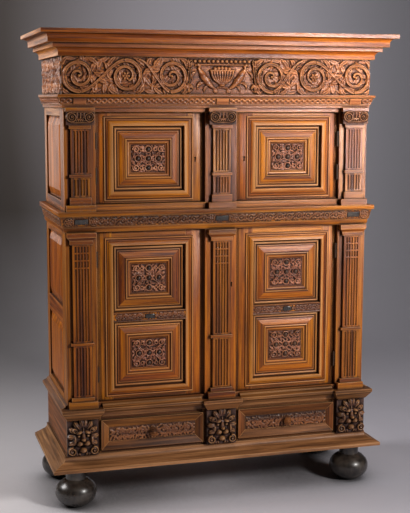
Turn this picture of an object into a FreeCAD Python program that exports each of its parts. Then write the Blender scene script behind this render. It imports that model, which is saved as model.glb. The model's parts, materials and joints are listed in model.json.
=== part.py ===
import FreeCAD, Part
import math
import operator
import os
import Sketcher
from types import SimpleNamespace

# A two-part oak cabinet: a plinth with two drawers and a tall cupboard below,
# a lower cupboard under frieze and cornice above. The upper case stands on the
# waist of the lower one. Millimetres, +X to the right, +Y to the back, +Z up.
# The origin lies on the floor under the middle of the cornice.

DIMENSIONS = {
    # Whole case
    "body_width": 1472.0,
    "body_depth": 575.0,
    # Heights of the layers, from the floor up
    "foot_height": 191.0,
    "base_height": 65.0,
    "plinth_height": 175.0,
    "step_height": 69.0,
    "lower_height": 797.0,
    "waist_height": 95.0,
    "upper_height": 466.0,
    "architrave_height": 59.0,
    "frieze_height": 169.0,
    "cornice_height": 114.0,
    # How far the layers stand out from the posts
    "base_projection": 70.0,
    "step_projection": 34.0,
    "break_projection": 58.0,
    "waist_projection": 33.0,
    "architrave_projection": 29.0,
    "frieze_projection": 6.0,
    "cornice_projection": 110.0,
    "plinth_overhang": 8.0,
    # Boards of the case
    "post_width": 142.0,
    "post_thickness": 32.0,
    "centre_post_width": 154.0,
    "side_thickness": 26.0,
    "side_stile_width": 70.0,
    "side_rail_height": 78.0,
    "lower_side_foot": 93.0,
    "lower_side_head": 128.0,
    "upper_side_foot": 28.0,
    "upper_side_head": 38.0,
    "side_panel_recess": 13.0,
    "side_panel_thickness": 10.0,
    "side_panel_rise": 6.0,
    "side_panel_bevel": 34.0,
    "rear_post_width": 60.0,
    "rear_post_depth": 60.0,
    "back_thickness": 18.0,
    "board_thickness": 20.0,
    "shelf_gap": 16.0,
    "shelf_bearer": 22.0,
    "lower_shelf_height": 380.0,
    "upper_shelf_height": 262.0,
    "upper_floor_thickness": 16.0,
    "upper_sill_height": 30.0,
    "upper_head_height": 20.0,
    "fit_clearance": 0.3,
    # Turned feet and knobs
    "foot_radius": 97.0,
    "foot_base_radius": 33.0,
    "foot_shoulder_radius": 77.0,
    "foot_neck_radius": 47.0,
    "foot_shoulder_low": 24.0,
    "foot_shoulder_high": 112.0,
    "foot_neck_low": 131.0,
    "foot_inset": 48.0,
    "foot_setback": 45.0,
    "knob_radius": 19.0,
    "knob_rose_radius": 16.0,
    "knob_rose_height": 6.0,
    "knob_stem_radius": 9.0,
    "knob_stem_length": 14.0,
    "knob_flare": 5.0,
    "knob_rim": 6.0,
    "knob_crown": 9.0,
    # Sections of the mouldings
    "base_edge_height": 15.0,
    "base_shoulder_projection": 24.0,
    "base_shoulder_drop": 30.0,
    "base_neck_projection": 9.0,
    "base_neck_height": 3.0,
    "step_foot_projection": 5.0,
    "step_cove_projection": 27.0,
    "step_cove_height": 33.0,
    "step_nose_low": 35.0,
    "step_nose_height": 12.0,
    "step_slope_height": 10.0,
    "step_ledge_projection": 12.0,
    "step_ledge_height": 5.0,
    "step_cap_height": 14.0,
    "waist_foot_projection": 6.0,
    "waist_bead_projection": 10.0,
    "waist_bead_low": 12.0,
    "waist_bead_height": 12.0,
    "waist_band_low": 27.0,
    "waist_band_drop": 23.0,
    "waist_band_foot": 14.0,
    "waist_band_head": 24.0,
    "waist_edge_height": 20.0,
    "architrave_foot_projection": 8.0,
    "architrave_foot_height": 13.0,
    "architrave_band_low": 16.0,
    "architrave_band_drop": 14.0,
    "architrave_band_foot": 12.0,
    "architrave_band_head": 22.0,
    "architrave_edge_height": 11.0,
    "cornice_foot_projection": 24.0,
    "cornice_foot_height": 17.0,
    "cornice_bed_projection": 48.0,
    "cornice_bed_height": 37.0,
    "cornice_fillet_projection": 51.0,
    "cornice_fillet_height": 20.0,
    "cornice_corona_inset": 34.0,
    "cornice_corona_height": 16.0,
    "cornice_crown_inset": 12.0,
    "cornice_crown_height": 18.0,
    # Plinth and drawers
    "base_frame_width": 60.0,
    "drawer_stile": 14.0,
    "drawer_rail": 14.0,
    "drawer_gap": 1.5,
    "drawer_front_thickness": 24.0,
    "drawer_moulding_width": 38.0,
    "drawer_moulding_rise": 14.0,
    "drawer_field_rise": 3.0,
    "drawer_side_inset": 8.0,
    "drawer_side_thickness": 12.0,
    "drawer_side_height": 120.0,
    "drawer_bottom_thickness": 8.0,
    "drawer_bottom_rise": 7.0,
    "drawer_back_gap": 93.0,
    "runner_width": 26.0,
    "guide_height": 24.0,
    "lion_block_width": 146.0,
    "lion_block_projection": 20.0,
    "lion_boss_rise": 15.0,
    "lion_boss_bevel": 24.0,
    # Doors
    "door_recess": 22.0,
    "door_thickness": 28.0,
    "door_free_gap": 3.0,
    "door_hinge_gap": 4.0,
    "door_lift": 3.0,
    "free_margin": 50.0,
    "hinge_margin": 37.0,
    "upper_door_bottom_margin": 8.0,
    "upper_door_top_margin": 24.0,
    "lower_door_bottom_margin": 14.0,
    "lower_door_top_margin": 33.0,
    "bolection_width": 35.0,
    "bolection_riser": 6.0,
    "bolection_rise": 10.0,
    "bolection_lip": 4.0,
    "panel_depth": 15.5,
    "panel_thickness": 11.5,
    "panel_groove": 8.0,
    "panel_riser": 26.0,
    "panel_slope": 63.0,
    "panel_rise": 14.0,
    "panel_lip": 4.0,
    "field_rise": 2.5,
    "band_bottom": 367.0,
    "band_height": 46.0,
    "band_rise": 9.0,
    "tablet_width": 42.0,
    "tablet_height": 20.0,
    "tablet_rise": 5.0,
    "cover_relief": 0.5,
    "reed_radius": 2.2,
    "reed_pitch": 5.0,
    "reed_margin": 4.5,
    # Pilasters
    "pilaster_width": 84.0,
    "pilaster_projection": 15.0,
    "pilaster_block_width": 134.0,
    "pilaster_block_projection": 30.0,
    "pilaster_ring_width": 106.0,
    "pilaster_ring_projection": 21.0,
    "upper_ring_width": 98.0,
    "upper_capital_width": 126.0,
    "flute_radius": 4.6,
    "flute_pitch": 13.8,
    "flute_margin": 9.0,
    "lower_foot_gap": 1.5,
    "lower_base_height": 52.0,
    "lower_base_block": 32.0,
    "lower_collar_height": 243.0,
    "upper_base_height": 65.0,
    "upper_base_block": 30.0,
    "upper_collar_height": 90.0,
    "collar_thickness": 13.0,
    "lower_capital_height": 54.0,
    "lower_abacus_height": 36.0,
    "lower_taper_height": 15.0,
    "upper_capital_height": 94.0,
    "upper_abacus_height": 17.0,
    "volute_radius": 24.0,
    "flute_dash": 27.0,
    "flute_bridge": 7.0,
    # Hinges, locks and dowels
    "hinge_setback": 10.0,
    "hinge_inset": 1.0,
    "hinge_margin_height": 90.0,
    "knuckle_radius": 4.5,
    "knuckle_height": 36.0,
    "hinge_pin_radius": 2.5,
    "running_clearance": 0.05,
    "leaf_thickness": 1.5,
    "leaf_depth": 18.0,
    "lock_setback": 2.0,
    "lock_width": 70.0,
    "lock_height": 80.0,
    "lock_depth": 16.0,
    "bolt_length": 56.0,
    "bolt_height": 18.0,
    "bolt_thickness": 6.0,
    "keyhole_radius": 5.0,
    "keyhole_slot_width": 5.5,
    "keyhole_slot_height": 14.0,
    "keyhole_backset": 38.0,
    "lower_keyhole_backset": 24.0,
    "upper_lock_height": 205.0,
    "lower_lock_height": 534.0,
    "dowel_radius": 10.0,
    "dowel_depth": 12.0,
    "dowel_inset": 90.0,
    "waist_tablet_width": 60.0,
    "waist_tablet_height": 22.0,
    "waist_tablet_rise": 4.0,
}

SIGNS = {"+": operator.add, "-": operator.sub, "*": operator.mul, "/": operator.truediv}


class Size:
    """A length known both as a number and as a formula over the sheet's cells."""

    def __init__(self, formula, value):
        self.formula = formula
        self.value = value

    def __add__(self, other):
        return combine(self, "+", other)

    def __radd__(self, other):
        return combine(other, "+", self)

    def __sub__(self, other):
        return combine(self, "-", other)

    def __rsub__(self, other):
        return combine(other, "-", self)

    def __mul__(self, other):
        return combine(self, "*", other)

    def __rmul__(self, other):
        return combine(other, "*", self)

    def __truediv__(self, other):
        return combine(self, "/", other)

    def __neg__(self):
        return combine(0, "-", self)


def as_size(number):
    return number if isinstance(number, Size) else Size(repr(number), number)


def combine(left, sign, right):
    left = as_size(left)
    right = as_size(right)
    formula = "(" + left.formula + " " + sign + " " + right.formula + ")"
    return Size(formula, SIGNS[sign](left.value, right.value))


def root(size):
    return Size("sqrt(" + size.formula + ")", math.sqrt(size.value))


class Arc:
    """A round stretch of an outline that ends at a point; hollow ones bend inwards.
    Roundness is its radius as a share of the straight line between its ends."""

    def __init__(self, out, up, roundness, hollow):
        self.point = (out, up)
        self.roundness = roundness
        self.hollow = hollow


doc = FreeCAD.newDocument("two_part_cabinet")
sheet = doc.addObject("Spreadsheet::Sheet", "dims")
for row, (name, value) in enumerate(DIMENSIONS.items(), start=1):
    sheet.set("A%d" % row, str(value))
    sheet.setAlias("A%d" % row, name)
doc.recompute()
d = SimpleNamespace(**{name: Size("dims." + name, value) for name, value in DIMENSIONS.items()})

NODES = []
QUARTER_ROUND = 0.72
SHALLOW_ROUND = 2.0
SIDES = (("left", -1), ("right", 1))
X_AXIS = FreeCAD.Vector(1, 0, 0)
Y_AXIS = FreeCAD.Vector(0, 1, 0)
Z_AXIS = FreeCAD.Vector(0, 0, 1)

# Levels and faces that many pieces share
half = d.body_width / 2
front = (d.cornice_projection - d.body_depth) / 2
back = front + d.body_depth
base_z = d.foot_height
plinth_z = base_z + d.base_height
step_z = plinth_z + d.plinth_height
lower_z = step_z + d.step_height
waist_z = lower_z + d.lower_height
upper_z = waist_z + d.waist_height
architrave_z = upper_z + d.upper_height
frieze_z = architrave_z + d.architrave_height
cornice_z = frieze_z + d.frieze_height
top_z = cornice_z + d.cornice_height
post_inner = half - d.post_width
side_inner = half - d.side_thickness
pilaster_x = half - d.post_width / 2
plinth_half = half + d.plinth_overhang
upper_sill_z = upper_z + d.upper_sill_height
upper_head_z = architrave_z - d.upper_head_height
door_front = front + d.door_recess
door_back = door_front + d.door_thickness
door_free = d.centre_post_width / 2 + d.door_free_gap
door_hinged = post_inner - d.door_hinge_gap
hinge_x = door_hinged - d.hinge_inset
hinge_y = front + d.hinge_setback


def bind(thing, **sizes):
    """Ties the named properties of a thing to the sheet."""
    for name, size in sizes.items():
        thing.setExpression(name, as_size(size).formula)
    return thing


def place(thing, x, y, z):
    thing.setExpression(".Placement.Base.x", as_size(x).formula)
    thing.setExpression(".Placement.Base.y", as_size(y).formula)
    thing.setExpression(".Placement.Base.z", as_size(z).formula)
    return thing


def turn(thing, x_to, y_to, z_to):
    """Points the thing's own axes along the given directions."""
    thing.Placement.Rotation = FreeCAD.Rotation(x_to, y_to, z_to, "XYZ")
    return thing


def node(label, pieces):
    """Names one sub-part; several solids of one kind share it."""
    if len(pieces) == 1:
        whole = pieces[0]
    else:
        whole = doc.addObject("Part::Compound", label)
        whole.Links = pieces
    whole.Label = label
    NODES.append(whole)
    return whole


def board(name, x_span, y_span, z_span):
    """A straight board from its lowest and highest faces."""
    thing = doc.addObject("Part::Box", name)
    bind(thing, Length=x_span[1] - x_span[0], Width=y_span[1] - y_span[0], Height=z_span[1] - z_span[0])
    return place(thing, x_span[0], y_span[0], z_span[0])


def across(side, inner, outer):
    """The x span between two distances from the middle, on one side."""
    if side < 0:
        return (-as_size(outer), -as_size(inner))
    return (as_size(inner), as_size(outer))


def middle(half_width, centre=0):
    return (centre - half_width, centre + half_width)


def outwards(face, inner, outer):
    """The y span between two distances in front of a face."""
    return (face - outer, face - inner)


def cylinder(name, radius, height):
    thing = doc.addObject("Part::Cylinder", name)
    return bind(thing, Radius=radius, Height=height)


def join(kind, name, base, tool):
    thing = doc.addObject(kind, name)
    thing.Base = base
    thing.Tool = tool
    return thing


def group(name, pieces):
    thing = doc.addObject("Part::Compound", name)
    thing.Links = pieces
    return thing


def wedge(name, near, far, depth):
    """A tapered block: near and far are its two end faces, each x low, x high, z low, z high."""
    thing = doc.addObject("Part::Wedge", name)
    bind(thing, Xmin=near[0], Xmax=near[1], Zmin=near[2], Zmax=near[3], Ymin=0, Ymax=depth)
    return bind(thing, X2min=far[0], X2max=far[1], Z2min=far[2], Z2max=far[3])


def mitred_frame(name, rect, face, width, outer_rise, inner_rise):
    """Four mitred lengths round a rectangle, standing in front of a face."""
    x_low, x_high, z_low, z_high = rect
    x_mid = (x_low + x_high) / 2
    z_mid = (z_low + z_high) / 2
    wide = (x_high - x_low) / 2
    tall = (z_high - z_low) / 2
    lengths = (
        ("top", wide, x_mid, z_high, -X_AXIS, -Z_AXIS),
        ("bottom", wide, x_mid, z_low, X_AXIS, Z_AXIS),
        ("left", tall, x_low, z_mid, -Z_AXIS, X_AXIS),
        ("right", tall, x_high, z_mid, Z_AXIS, -X_AXIS),
    )
    pieces = []
    for place_name, reach, x, z, along, inward in lengths:
        near = (-reach, reach, 0, outer_rise)
        far = (width - reach, reach - width, 0, inner_rise)
        piece = wedge(name + "_" + place_name, near, far, width)
        turn(piece, along, inward, -Y_AXIS)
        pieces.append(place(piece, x, face, z))
    return pieces


def raised_block(name, rect, face, bevel, rise):
    """A block with sloping sides in front of a face."""
    x_low, x_high, z_low, z_high = rect
    wide = (x_high - x_low) / 2
    tall = (z_high - z_low) / 2
    near = (-wide, wide, -tall, tall)
    far = (bevel - wide, wide - bevel, bevel - tall, tall - bevel)
    piece = turn(wedge(name, near, far, rise), -X_AXIS, -Y_AXIS, Z_AXIS)
    return place(piece, (x_low + x_high) / 2, face, (z_low + z_high) / 2)


def inset(rect, margin):
    x_low, x_high, z_low, z_high = rect
    return (x_low + margin, x_high - margin, z_low + margin, z_high - margin)


def chord(start, end):
    """The straight distance between two corners of an outline."""
    out = end[0] - start[0]
    up = end[1] - start[1]
    return root(out * out + up * up)


def arc_between(start, end, radius, hollow):
    """The arc of a radius between two points, drawn anticlockwise."""
    span = end - start
    height = math.sqrt(radius * radius - span.Length * span.Length / 4)
    sideways = FreeCAD.Vector(-span.y, span.x, 0).normalize()
    centre = (start + end) * 0.5 + sideways * (-height if hollow else height)
    first, last = (end, start) if hollow else (start, end)
    angles = [math.atan2(p.y - centre.y, p.x - centre.x) for p in (first, last)]
    if angles[1] < angles[0]:
        angles[1] += 2 * math.pi
    circle = Part.Circle(centre, Z_AXIS, radius)
    return Part.ArcOfCircle(circle, angles[0], angles[1])


def draw_outline(sketch, outline):
    """Draws a closed outline anticlockwise, with every corner tied to the sheet."""
    corners = [entry.point if isinstance(entry, Arc) else entry for entry in outline]
    corners = [(as_size(out), as_size(up)) for out, up in corners]
    points = [FreeCAD.Vector(out.value, up.value, 0) for out, up in corners]
    count = len(outline)
    ends = []
    for index in range(count):
        entry = outline[(index + 1) % count]
        start = points[index]
        end = points[(index + 1) % count]
        if isinstance(entry, Arc):
            radius = chord(corners[index], corners[(index + 1) % count]) * entry.roundness
            sketch.addGeometry(arc_between(start, end, radius.value, entry.hollow), False)
            ends.append((2, 1) if entry.hollow else (1, 2))
            number = sketch.addConstraint(Sketcher.Constraint("Radius", index, radius.value))
            sketch.setExpression("Constraints[%d]" % number, radius.formula)
        else:
            sketch.addGeometry(Part.LineSegment(start, end), False)
            ends.append((1, 2))
    for index in range(count):
        after = (index + 1) % count
        joined = Sketcher.Constraint("Coincident", index, ends[index][1], after, ends[after][0])
        sketch.addConstraint(joined)
        for kind, size in zip(("DistanceX", "DistanceY"), corners[index]):
            distance = Sketcher.Constraint(kind, -1, 1, index, ends[index][0], size.value)
            number = sketch.addConstraint(distance)
            sketch.setExpression("Constraints[%d]" % number, size.formula)


def profile(name, outline):
    sketch = doc.addObject("Sketcher::SketchObject", name)
    draw_outline(sketch, outline)
    return sketch


def straight_length(name, section, length):
    """A length of moulding: the section's first axis faces outwards, its second up."""
    thing = doc.addObject("Part::Extrusion", name)
    thing.Base = section
    thing.DirMode = "Normal"
    thing.Solid = True
    return bind(thing, LengthFwd=length)


def mitred_moulding(name, section, half_width, reach, z, height):
    """Front and side lengths of a moulding, mitred at the two front corners."""
    depth = back - front
    front_run = straight_length(name + "_front_run", section, (half_width + reach) * 2)
    place(turn(front_run, -Y_AXIS, Z_AXIS, -X_AXIS), half_width + reach, front, z)
    plan = wedge(name + "_front_plan", (-half_width, half_width, 0, height),
                 (-half_width - reach, half_width + reach, 0, height), reach)
    place(turn(plan, -X_AXIS, -Y_AXIS, Z_AXIS), 0, front, z)
    pieces = [join("Part::Common", name + "_front", front_run, plan)]
    for side_name, side in SIDES:
        run = straight_length(name + "_" + side_name + "_run", section, depth + reach)
        plan_name = name + "_" + side_name + "_plan"
        if side < 0:
            place(turn(run, -X_AXIS, Z_AXIS, Y_AXIS), -half_width, front - reach, z)
            plan = wedge(plan_name, (0, depth, 0, height), (-reach, depth, 0, height), reach)
            turn(plan, Y_AXIS, -X_AXIS, Z_AXIS)
        else:
            place(turn(run, X_AXIS, Z_AXIS, -Y_AXIS), half_width, back, z)
            plan = wedge(plan_name, (-depth, 0, 0, height), (-depth, reach, 0, height), reach)
            turn(plan, -Y_AXIS, X_AXIS, Z_AXIS)
        place(plan, side * half_width, front, z)
        pieces.append(join("Part::Common", name + "_" + side_name, run, plan))
    return node(name, pieces)


def turned(name, outline):
    """A piece turned on the lathe: the outline goes round its second axis."""
    body = doc.addObject("PartDesign::Body", name)
    sketch = body.newObject("Sketcher::SketchObject", name + "_outline")
    plane = [item for item in body.Origin.OriginFeatures if item.Role == "XZ_Plane"][0]
    sketch.AttachmentSupport = [(plane, "")]
    sketch.MapMode = "FlatFace"
    draw_outline(sketch, outline)
    revolution = body.newObject("PartDesign::Revolution", name + "_turning")
    revolution.Profile = sketch
    revolution.ReferenceAxis = (sketch, ["V_Axis"])
    revolution.Angle = 360
    body.Tip = revolution
    return body


def foot(name, x, y):
    """A flattened bun under a neck: a round rim between two flatter shoulders."""
    rim_height = d.foot_shoulder_high - d.foot_shoulder_low
    rim_depth = d.foot_radius - d.foot_shoulder_radius
    rim_radius = (rim_height * rim_height / 4 + rim_depth * rim_depth) / (rim_depth * 2)
    outline = [
        (0, 0),
        (d.foot_base_radius, 0),
        Arc(d.foot_shoulder_radius, d.foot_shoulder_low, SHALLOW_ROUND, False),
        Arc(d.foot_shoulder_radius, d.foot_shoulder_high, rim_radius / rim_height, False),
        Arc(d.foot_neck_radius, d.foot_neck_low, SHALLOW_ROUND, False),
        (d.foot_neck_radius, d.foot_height),
        (0, d.foot_height),
    ]
    return place(turned(name, outline), x, y, 0)


def feet():
    reach = plinth_half - d.foot_inset
    rows = (("front", front + d.foot_setback), ("rear", back - d.foot_radius))
    for row_name, y in rows:
        pieces = [foot(row_name + "_" + side_name + "_bun", side * reach, y) for side_name, side in SIDES]
        node(row_name + "_bun_feet", pieces)


def plinth_case():
    """The base frame on the feet and the boards round the drawers."""
    wide = d.base_frame_width
    frame_z = (base_z, plinth_z)
    board_z = (plinth_z, step_z)
    face = (front, front + d.post_thickness)
    rear = (back - d.back_thickness, back)
    stile = d.lion_block_width / 2 + d.drawer_stile
    inner = plinth_half - d.lion_block_width - d.drawer_stile
    side_face = plinth_half - d.side_thickness
    pieces = [
        board("base_front_rail", middle(plinth_half), (front, front + wide), frame_z),
        board("base_back_rail", middle(plinth_half), (back - wide, back), frame_z),
        board("plinth_back", middle(plinth_half - d.side_thickness), rear, board_z),
        board("plinth_centre_stile", middle(stile), face, board_z),
    ]
    for side_name, side in SIDES:
        rail_y = (front + wide, back - wide)
        rail_x = across(side, plinth_half - wide, plinth_half)
        edge = across(side, side_face, plinth_half)
        pieces.append(board("base_%s_rail" % side_name, rail_x, rail_y, frame_z))
        pieces.append(board("plinth_%s_side" % side_name, edge, (front, back), board_z))
        pieces.append(board("plinth_%s_stile" % side_name, across(side, inner, side_face), face, board_z))
        bay = across(side, stile, inner)
        pieces.append(board("drawer_%s_sill" % side_name, bay, face, (plinth_z, plinth_z + d.drawer_rail)))
        pieces.append(board("drawer_%s_head" % side_name, bay, face, (step_z - d.drawer_rail, step_z)))
    node("plinth_case", pieces)


def base_moulding():
    """A wide sloping foot moulding with a hollow under the plinth."""
    reach = d.base_projection
    section = profile("base_moulding_section", [
        (0, 0),
        (reach, 0),
        (reach, d.base_edge_height),
        (d.base_shoulder_projection, d.base_height - d.base_shoulder_drop),
        Arc(d.base_neck_projection, d.base_height - d.base_neck_height, QUARTER_ROUND, True),
        (d.base_neck_projection, d.base_height),
        (0, d.base_height),
    ])
    mitred_moulding("base_moulding", section, plinth_half, reach, base_z, d.base_height)


def lion_blocks():
    """Three blocks under the pilasters, each with a boss for its mask."""
    pieces = []
    outer_x = plinth_half - d.lion_block_width / 2
    for name, x in (("left", -outer_x), ("centre", as_size(0)), ("right", outer_x)):
        x_span = middle(d.lion_block_width / 2, x)
        y_span = outwards(front, 0, d.lion_block_projection)
        block = board("lion_%s_block" % name, x_span, y_span, (plinth_z, step_z))
        rect = (x_span[0], x_span[1], plinth_z, step_z)
        boss = raised_block("lion_%s_boss" % name, rect, front - d.lion_block_projection, d.lion_boss_bevel,
                            d.lion_boss_rise)
        pieces.append(join("Part::Fuse", "lion_%s" % name, block, boss))
    node("lion_blocks", pieces)


def step_moulding():
    """The moulding over the drawers, which breaks forward under each pilaster."""
    nose_high = d.step_nose_low + d.step_nose_height
    slope_high = nose_high + d.step_slope_height
    section = profile("step_section", [
        (0, 0),
        (d.step_foot_projection, 0),
        Arc(d.step_cove_projection, d.step_cove_height, QUARTER_ROUND, True),
        (d.step_projection, d.step_nose_low),
        (d.step_projection, nose_high),
        (d.step_ledge_projection, slope_high),
        (d.step_ledge_projection, slope_high + d.step_ledge_height),
        (0, d.step_height),
    ])
    cap_low = step_z + d.step_nose_low
    cap_high = cap_low + d.step_cap_height
    boss_projection = d.lion_block_projection + d.lion_boss_rise
    lap = d.break_projection - boss_projection
    block_low = plinth_half - d.lion_block_width
    pieces = []
    breaks = (
        ("left", -plinth_half, -block_low, -half - d.step_projection, lap - block_low),
        ("centre", -d.lion_block_width / 2, d.lion_block_width / 2,
         -d.lion_block_width / 2 - lap, d.lion_block_width / 2 + lap),
        ("right", block_low, plinth_half, block_low - lap, half + d.step_projection),
    )
    for name, low, high, cap_left, cap_right in breaks:
        shoulder = wedge("step_%s_shoulder" % name, (low, high, 0, boss_projection),
                         (cap_left, cap_right, 0, d.break_projection), d.step_nose_low)
        place(turn(shoulder, X_AXIS, Z_AXIS, -Y_AXIS), 0, front, step_z)
        cap_y = outwards(front, 0, d.break_projection)
        cap = board("step_%s_cap" % name, (cap_left, cap_right), cap_y, (cap_low, cap_high))
        pieces.append(join("Part::Fuse", "step_%s_break" % name, shoulder, cap))
    bay = block_low - lap - d.lion_block_width / 2 - lap
    for side_name, side in SIDES:
        run = straight_length("step_%s_run" % side_name, section, bay)
        far_end = block_low - lap if side > 0 else -d.lion_block_width / 2 - lap
        pieces.append(place(turn(run, -Y_AXIS, Z_AXIS, -X_AXIS), far_end, front, step_z))
        flank = straight_length("step_%s_flank" % side_name, section, back - front)
        if side < 0:
            place(turn(flank, -X_AXIS, Z_AXIS, Y_AXIS), -half, front, step_z)
        else:
            place(turn(flank, X_AXIS, Z_AXIS, -Y_AXIS), half, back, step_z)
        pieces.append(flank)
    node("step_moulding", pieces)


def waist_moulding():
    section = profile("waist_section", [
        (0, 0),
        (d.waist_foot_projection, 0),
        (d.waist_bead_projection, d.waist_bead_low),
        (d.waist_bead_projection, d.waist_bead_low + d.waist_bead_height),
        (d.waist_band_foot, d.waist_band_low),
        (d.waist_band_head, d.waist_height - d.waist_band_drop),
        (d.waist_projection, d.waist_height - d.waist_edge_height),
        (d.waist_projection, d.waist_height),
        (0, d.waist_height),
    ])
    mitred_moulding("waist_moulding", section, half, d.waist_projection, waist_z, d.waist_height)


def waist_tablets():
    """Black tablets on the sloping band of the waist, over each lower pilaster."""
    band_rise = d.waist_height - d.waist_band_drop - d.waist_band_low
    lean = (d.waist_band_head - d.waist_band_foot) / band_rise
    margin = (band_rise - d.waist_tablet_height) / 2
    low = d.waist_band_low + margin
    high = low + d.waist_tablet_height
    low_out = d.waist_band_foot + lean * margin
    high_out = low_out + lean * d.waist_tablet_height
    section = profile("waist_tablet_section", [
        (low_out, low),
        (low_out + d.waist_tablet_rise, low),
        (high_out + d.waist_tablet_rise, high),
        (high_out, high),
    ])
    pieces = []
    for name, x in (("left", -pilaster_x), ("centre", as_size(0)), ("right", pilaster_x)):
        piece = straight_length("waist_%s_tablet" % name, section, d.waist_tablet_width)
        turn(piece, -Y_AXIS, Z_AXIS, -X_AXIS)
        pieces.append(place(piece, x + d.waist_tablet_width / 2, front, waist_z))
    node("waist_tablets", pieces)


def architrave():
    section = profile("architrave_section", [
        (0, 0),
        (d.architrave_foot_projection, 0),
        (d.architrave_foot_projection, d.architrave_foot_height),
        (d.architrave_band_foot, d.architrave_band_low),
        (d.architrave_band_head, d.architrave_height - d.architrave_band_drop),
        (d.architrave_projection, d.architrave_height - d.architrave_edge_height),
        (d.architrave_projection, d.architrave_height),
        (0, d.architrave_height),
    ])
    mitred_moulding("architrave", section, half, d.architrave_projection, architrave_z, d.architrave_height)


def frieze():
    reach = d.frieze_projection
    section = profile("frieze_section", [
        (0, 0),
        (reach, 0),
        (reach, d.frieze_height),
        (0, d.frieze_height),
    ])
    mitred_moulding("frieze", section, half, reach, frieze_z, d.frieze_height)


def cornice():
    """Two coves between square fillets under a deep top edge."""
    top = d.cornice_height
    reach = d.cornice_projection
    corona_low = d.cornice_bed_height + d.cornice_fillet_height
    section = profile("cornice_section", [
        (0, 0),
        (d.cornice_foot_projection, 0),
        (d.cornice_foot_projection, d.cornice_foot_height),
        Arc(d.cornice_bed_projection, d.cornice_bed_height, QUARTER_ROUND, True),
        (d.cornice_fillet_projection, d.cornice_bed_height),
        (d.cornice_fillet_projection, corona_low),
        (reach - d.cornice_corona_inset, corona_low),
        (reach - d.cornice_corona_inset, corona_low + d.cornice_corona_height),
        Arc(reach - d.cornice_crown_inset, top - d.cornice_crown_height, QUARTER_ROUND, True),
        (reach, top - d.cornice_crown_height),
        (reach, top),
        (0, top),
    ])
    mitred_moulding("cornice", section, half, reach, cornice_z, top)


def side_frame(name, z_low, z_high, rails):
    """Stiles, rails and rear post of one case's two sides; rails are z spans."""
    pieces = []
    stile_y = (front + d.post_thickness, front + d.post_thickness + d.side_stile_width)
    rail_y = (stile_y[1], back - d.rear_post_depth)
    for side_name, side in SIDES:
        skin = across(side, side_inner, half)
        label = name + "_" + side_name
        pieces.append(board(label + "_side_stile", skin, stile_y, (z_low, z_high)))
        post = across(side, half - d.rear_post_width, half)
        pieces.append(board(label + "_rear_post", post, (rail_y[1], back), (z_low, z_high)))
        for number, span in enumerate(rails):
            pieces.append(board("%s_side_rail_%d" % (label, number), skin, rail_y, span))
    return pieces


def side_panels(name, rails):
    """Raised panels between the side rails."""
    pieces = []
    y_low = front + d.post_thickness + d.side_stile_width
    y_high = back - d.rear_post_depth
    for side_name, side in SIDES:
        outer = half - d.side_panel_recess
        for number in range(len(rails) - 1):
            z_span = (rails[number][1], rails[number + 1][0])
            label = "%s_%s_panel_%d" % (name, side_name, number)
            sheet_x = across(side, outer - d.side_panel_thickness, outer)
            sheet_part = board(label + "_board", sheet_x, (y_low, y_high), z_span)
            wide = (y_high - y_low) / 2 - d.panel_groove
            tall = (z_span[1] - z_span[0]) / 2 - d.panel_groove
            bevel = d.side_panel_bevel
            field = wedge(label + "_field", (-wide, wide, -tall, tall),
                          (bevel - wide, wide - bevel, bevel - tall, tall - bevel), d.side_panel_rise)
            turn(field, -Y_AXIS * side, X_AXIS * side, Z_AXIS)
            place(field, side * outer, (y_low + y_high) / 2, (z_span[0] + z_span[1]) / 2)
            pieces.append(join("Part::Fuse", label, sheet_part, field))
    node(name + "_side_panels", pieces)


def notched_board(name, reach, y_front, z_span):
    """A level board cut away round the rear posts, up to the back."""
    post_y = back - d.rear_post_depth - d.fit_clearance
    post_x = half - d.rear_post_width - d.fit_clearance
    wide = board(name + "_wide", middle(reach), (y_front, post_y), z_span)
    tongue = board(name + "_tongue", middle(post_x), (post_y, back - d.back_thickness), z_span)
    return join("Part::Fuse", name, wide, tongue)


def shelf(name, z):
    """A loose shelf on two bearers."""
    y_span = (door_back + d.lock_depth + d.shelf_gap, back - d.rear_post_depth)
    reach = side_inner - d.fit_clearance
    pieces = [notched_board(name + "_board", reach, y_span[0], (z, z + d.board_thickness))]
    for side_name, side in SIDES:
        x_span = across(side, side_inner - d.shelf_bearer, side_inner)
        pieces.append(board("%s_%s_bearer" % (name, side_name), x_span, y_span, (z - d.shelf_bearer, z)))
    node(name, pieces)


def dowel_tools(name, z_low, z_high):
    pieces = []
    rows = (("front", front + d.dowel_inset), ("rear", back - d.dowel_inset))
    for row_name, y in rows:
        for side_name, side in SIDES:
            piece = cylinder("%s_%s_%s" % (name, row_name, side_name), d.dowel_radius, z_high - z_low)
            pieces.append(place(piece, side * (side_inner - d.dowel_inset), y, z_low))
    return pieces


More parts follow.
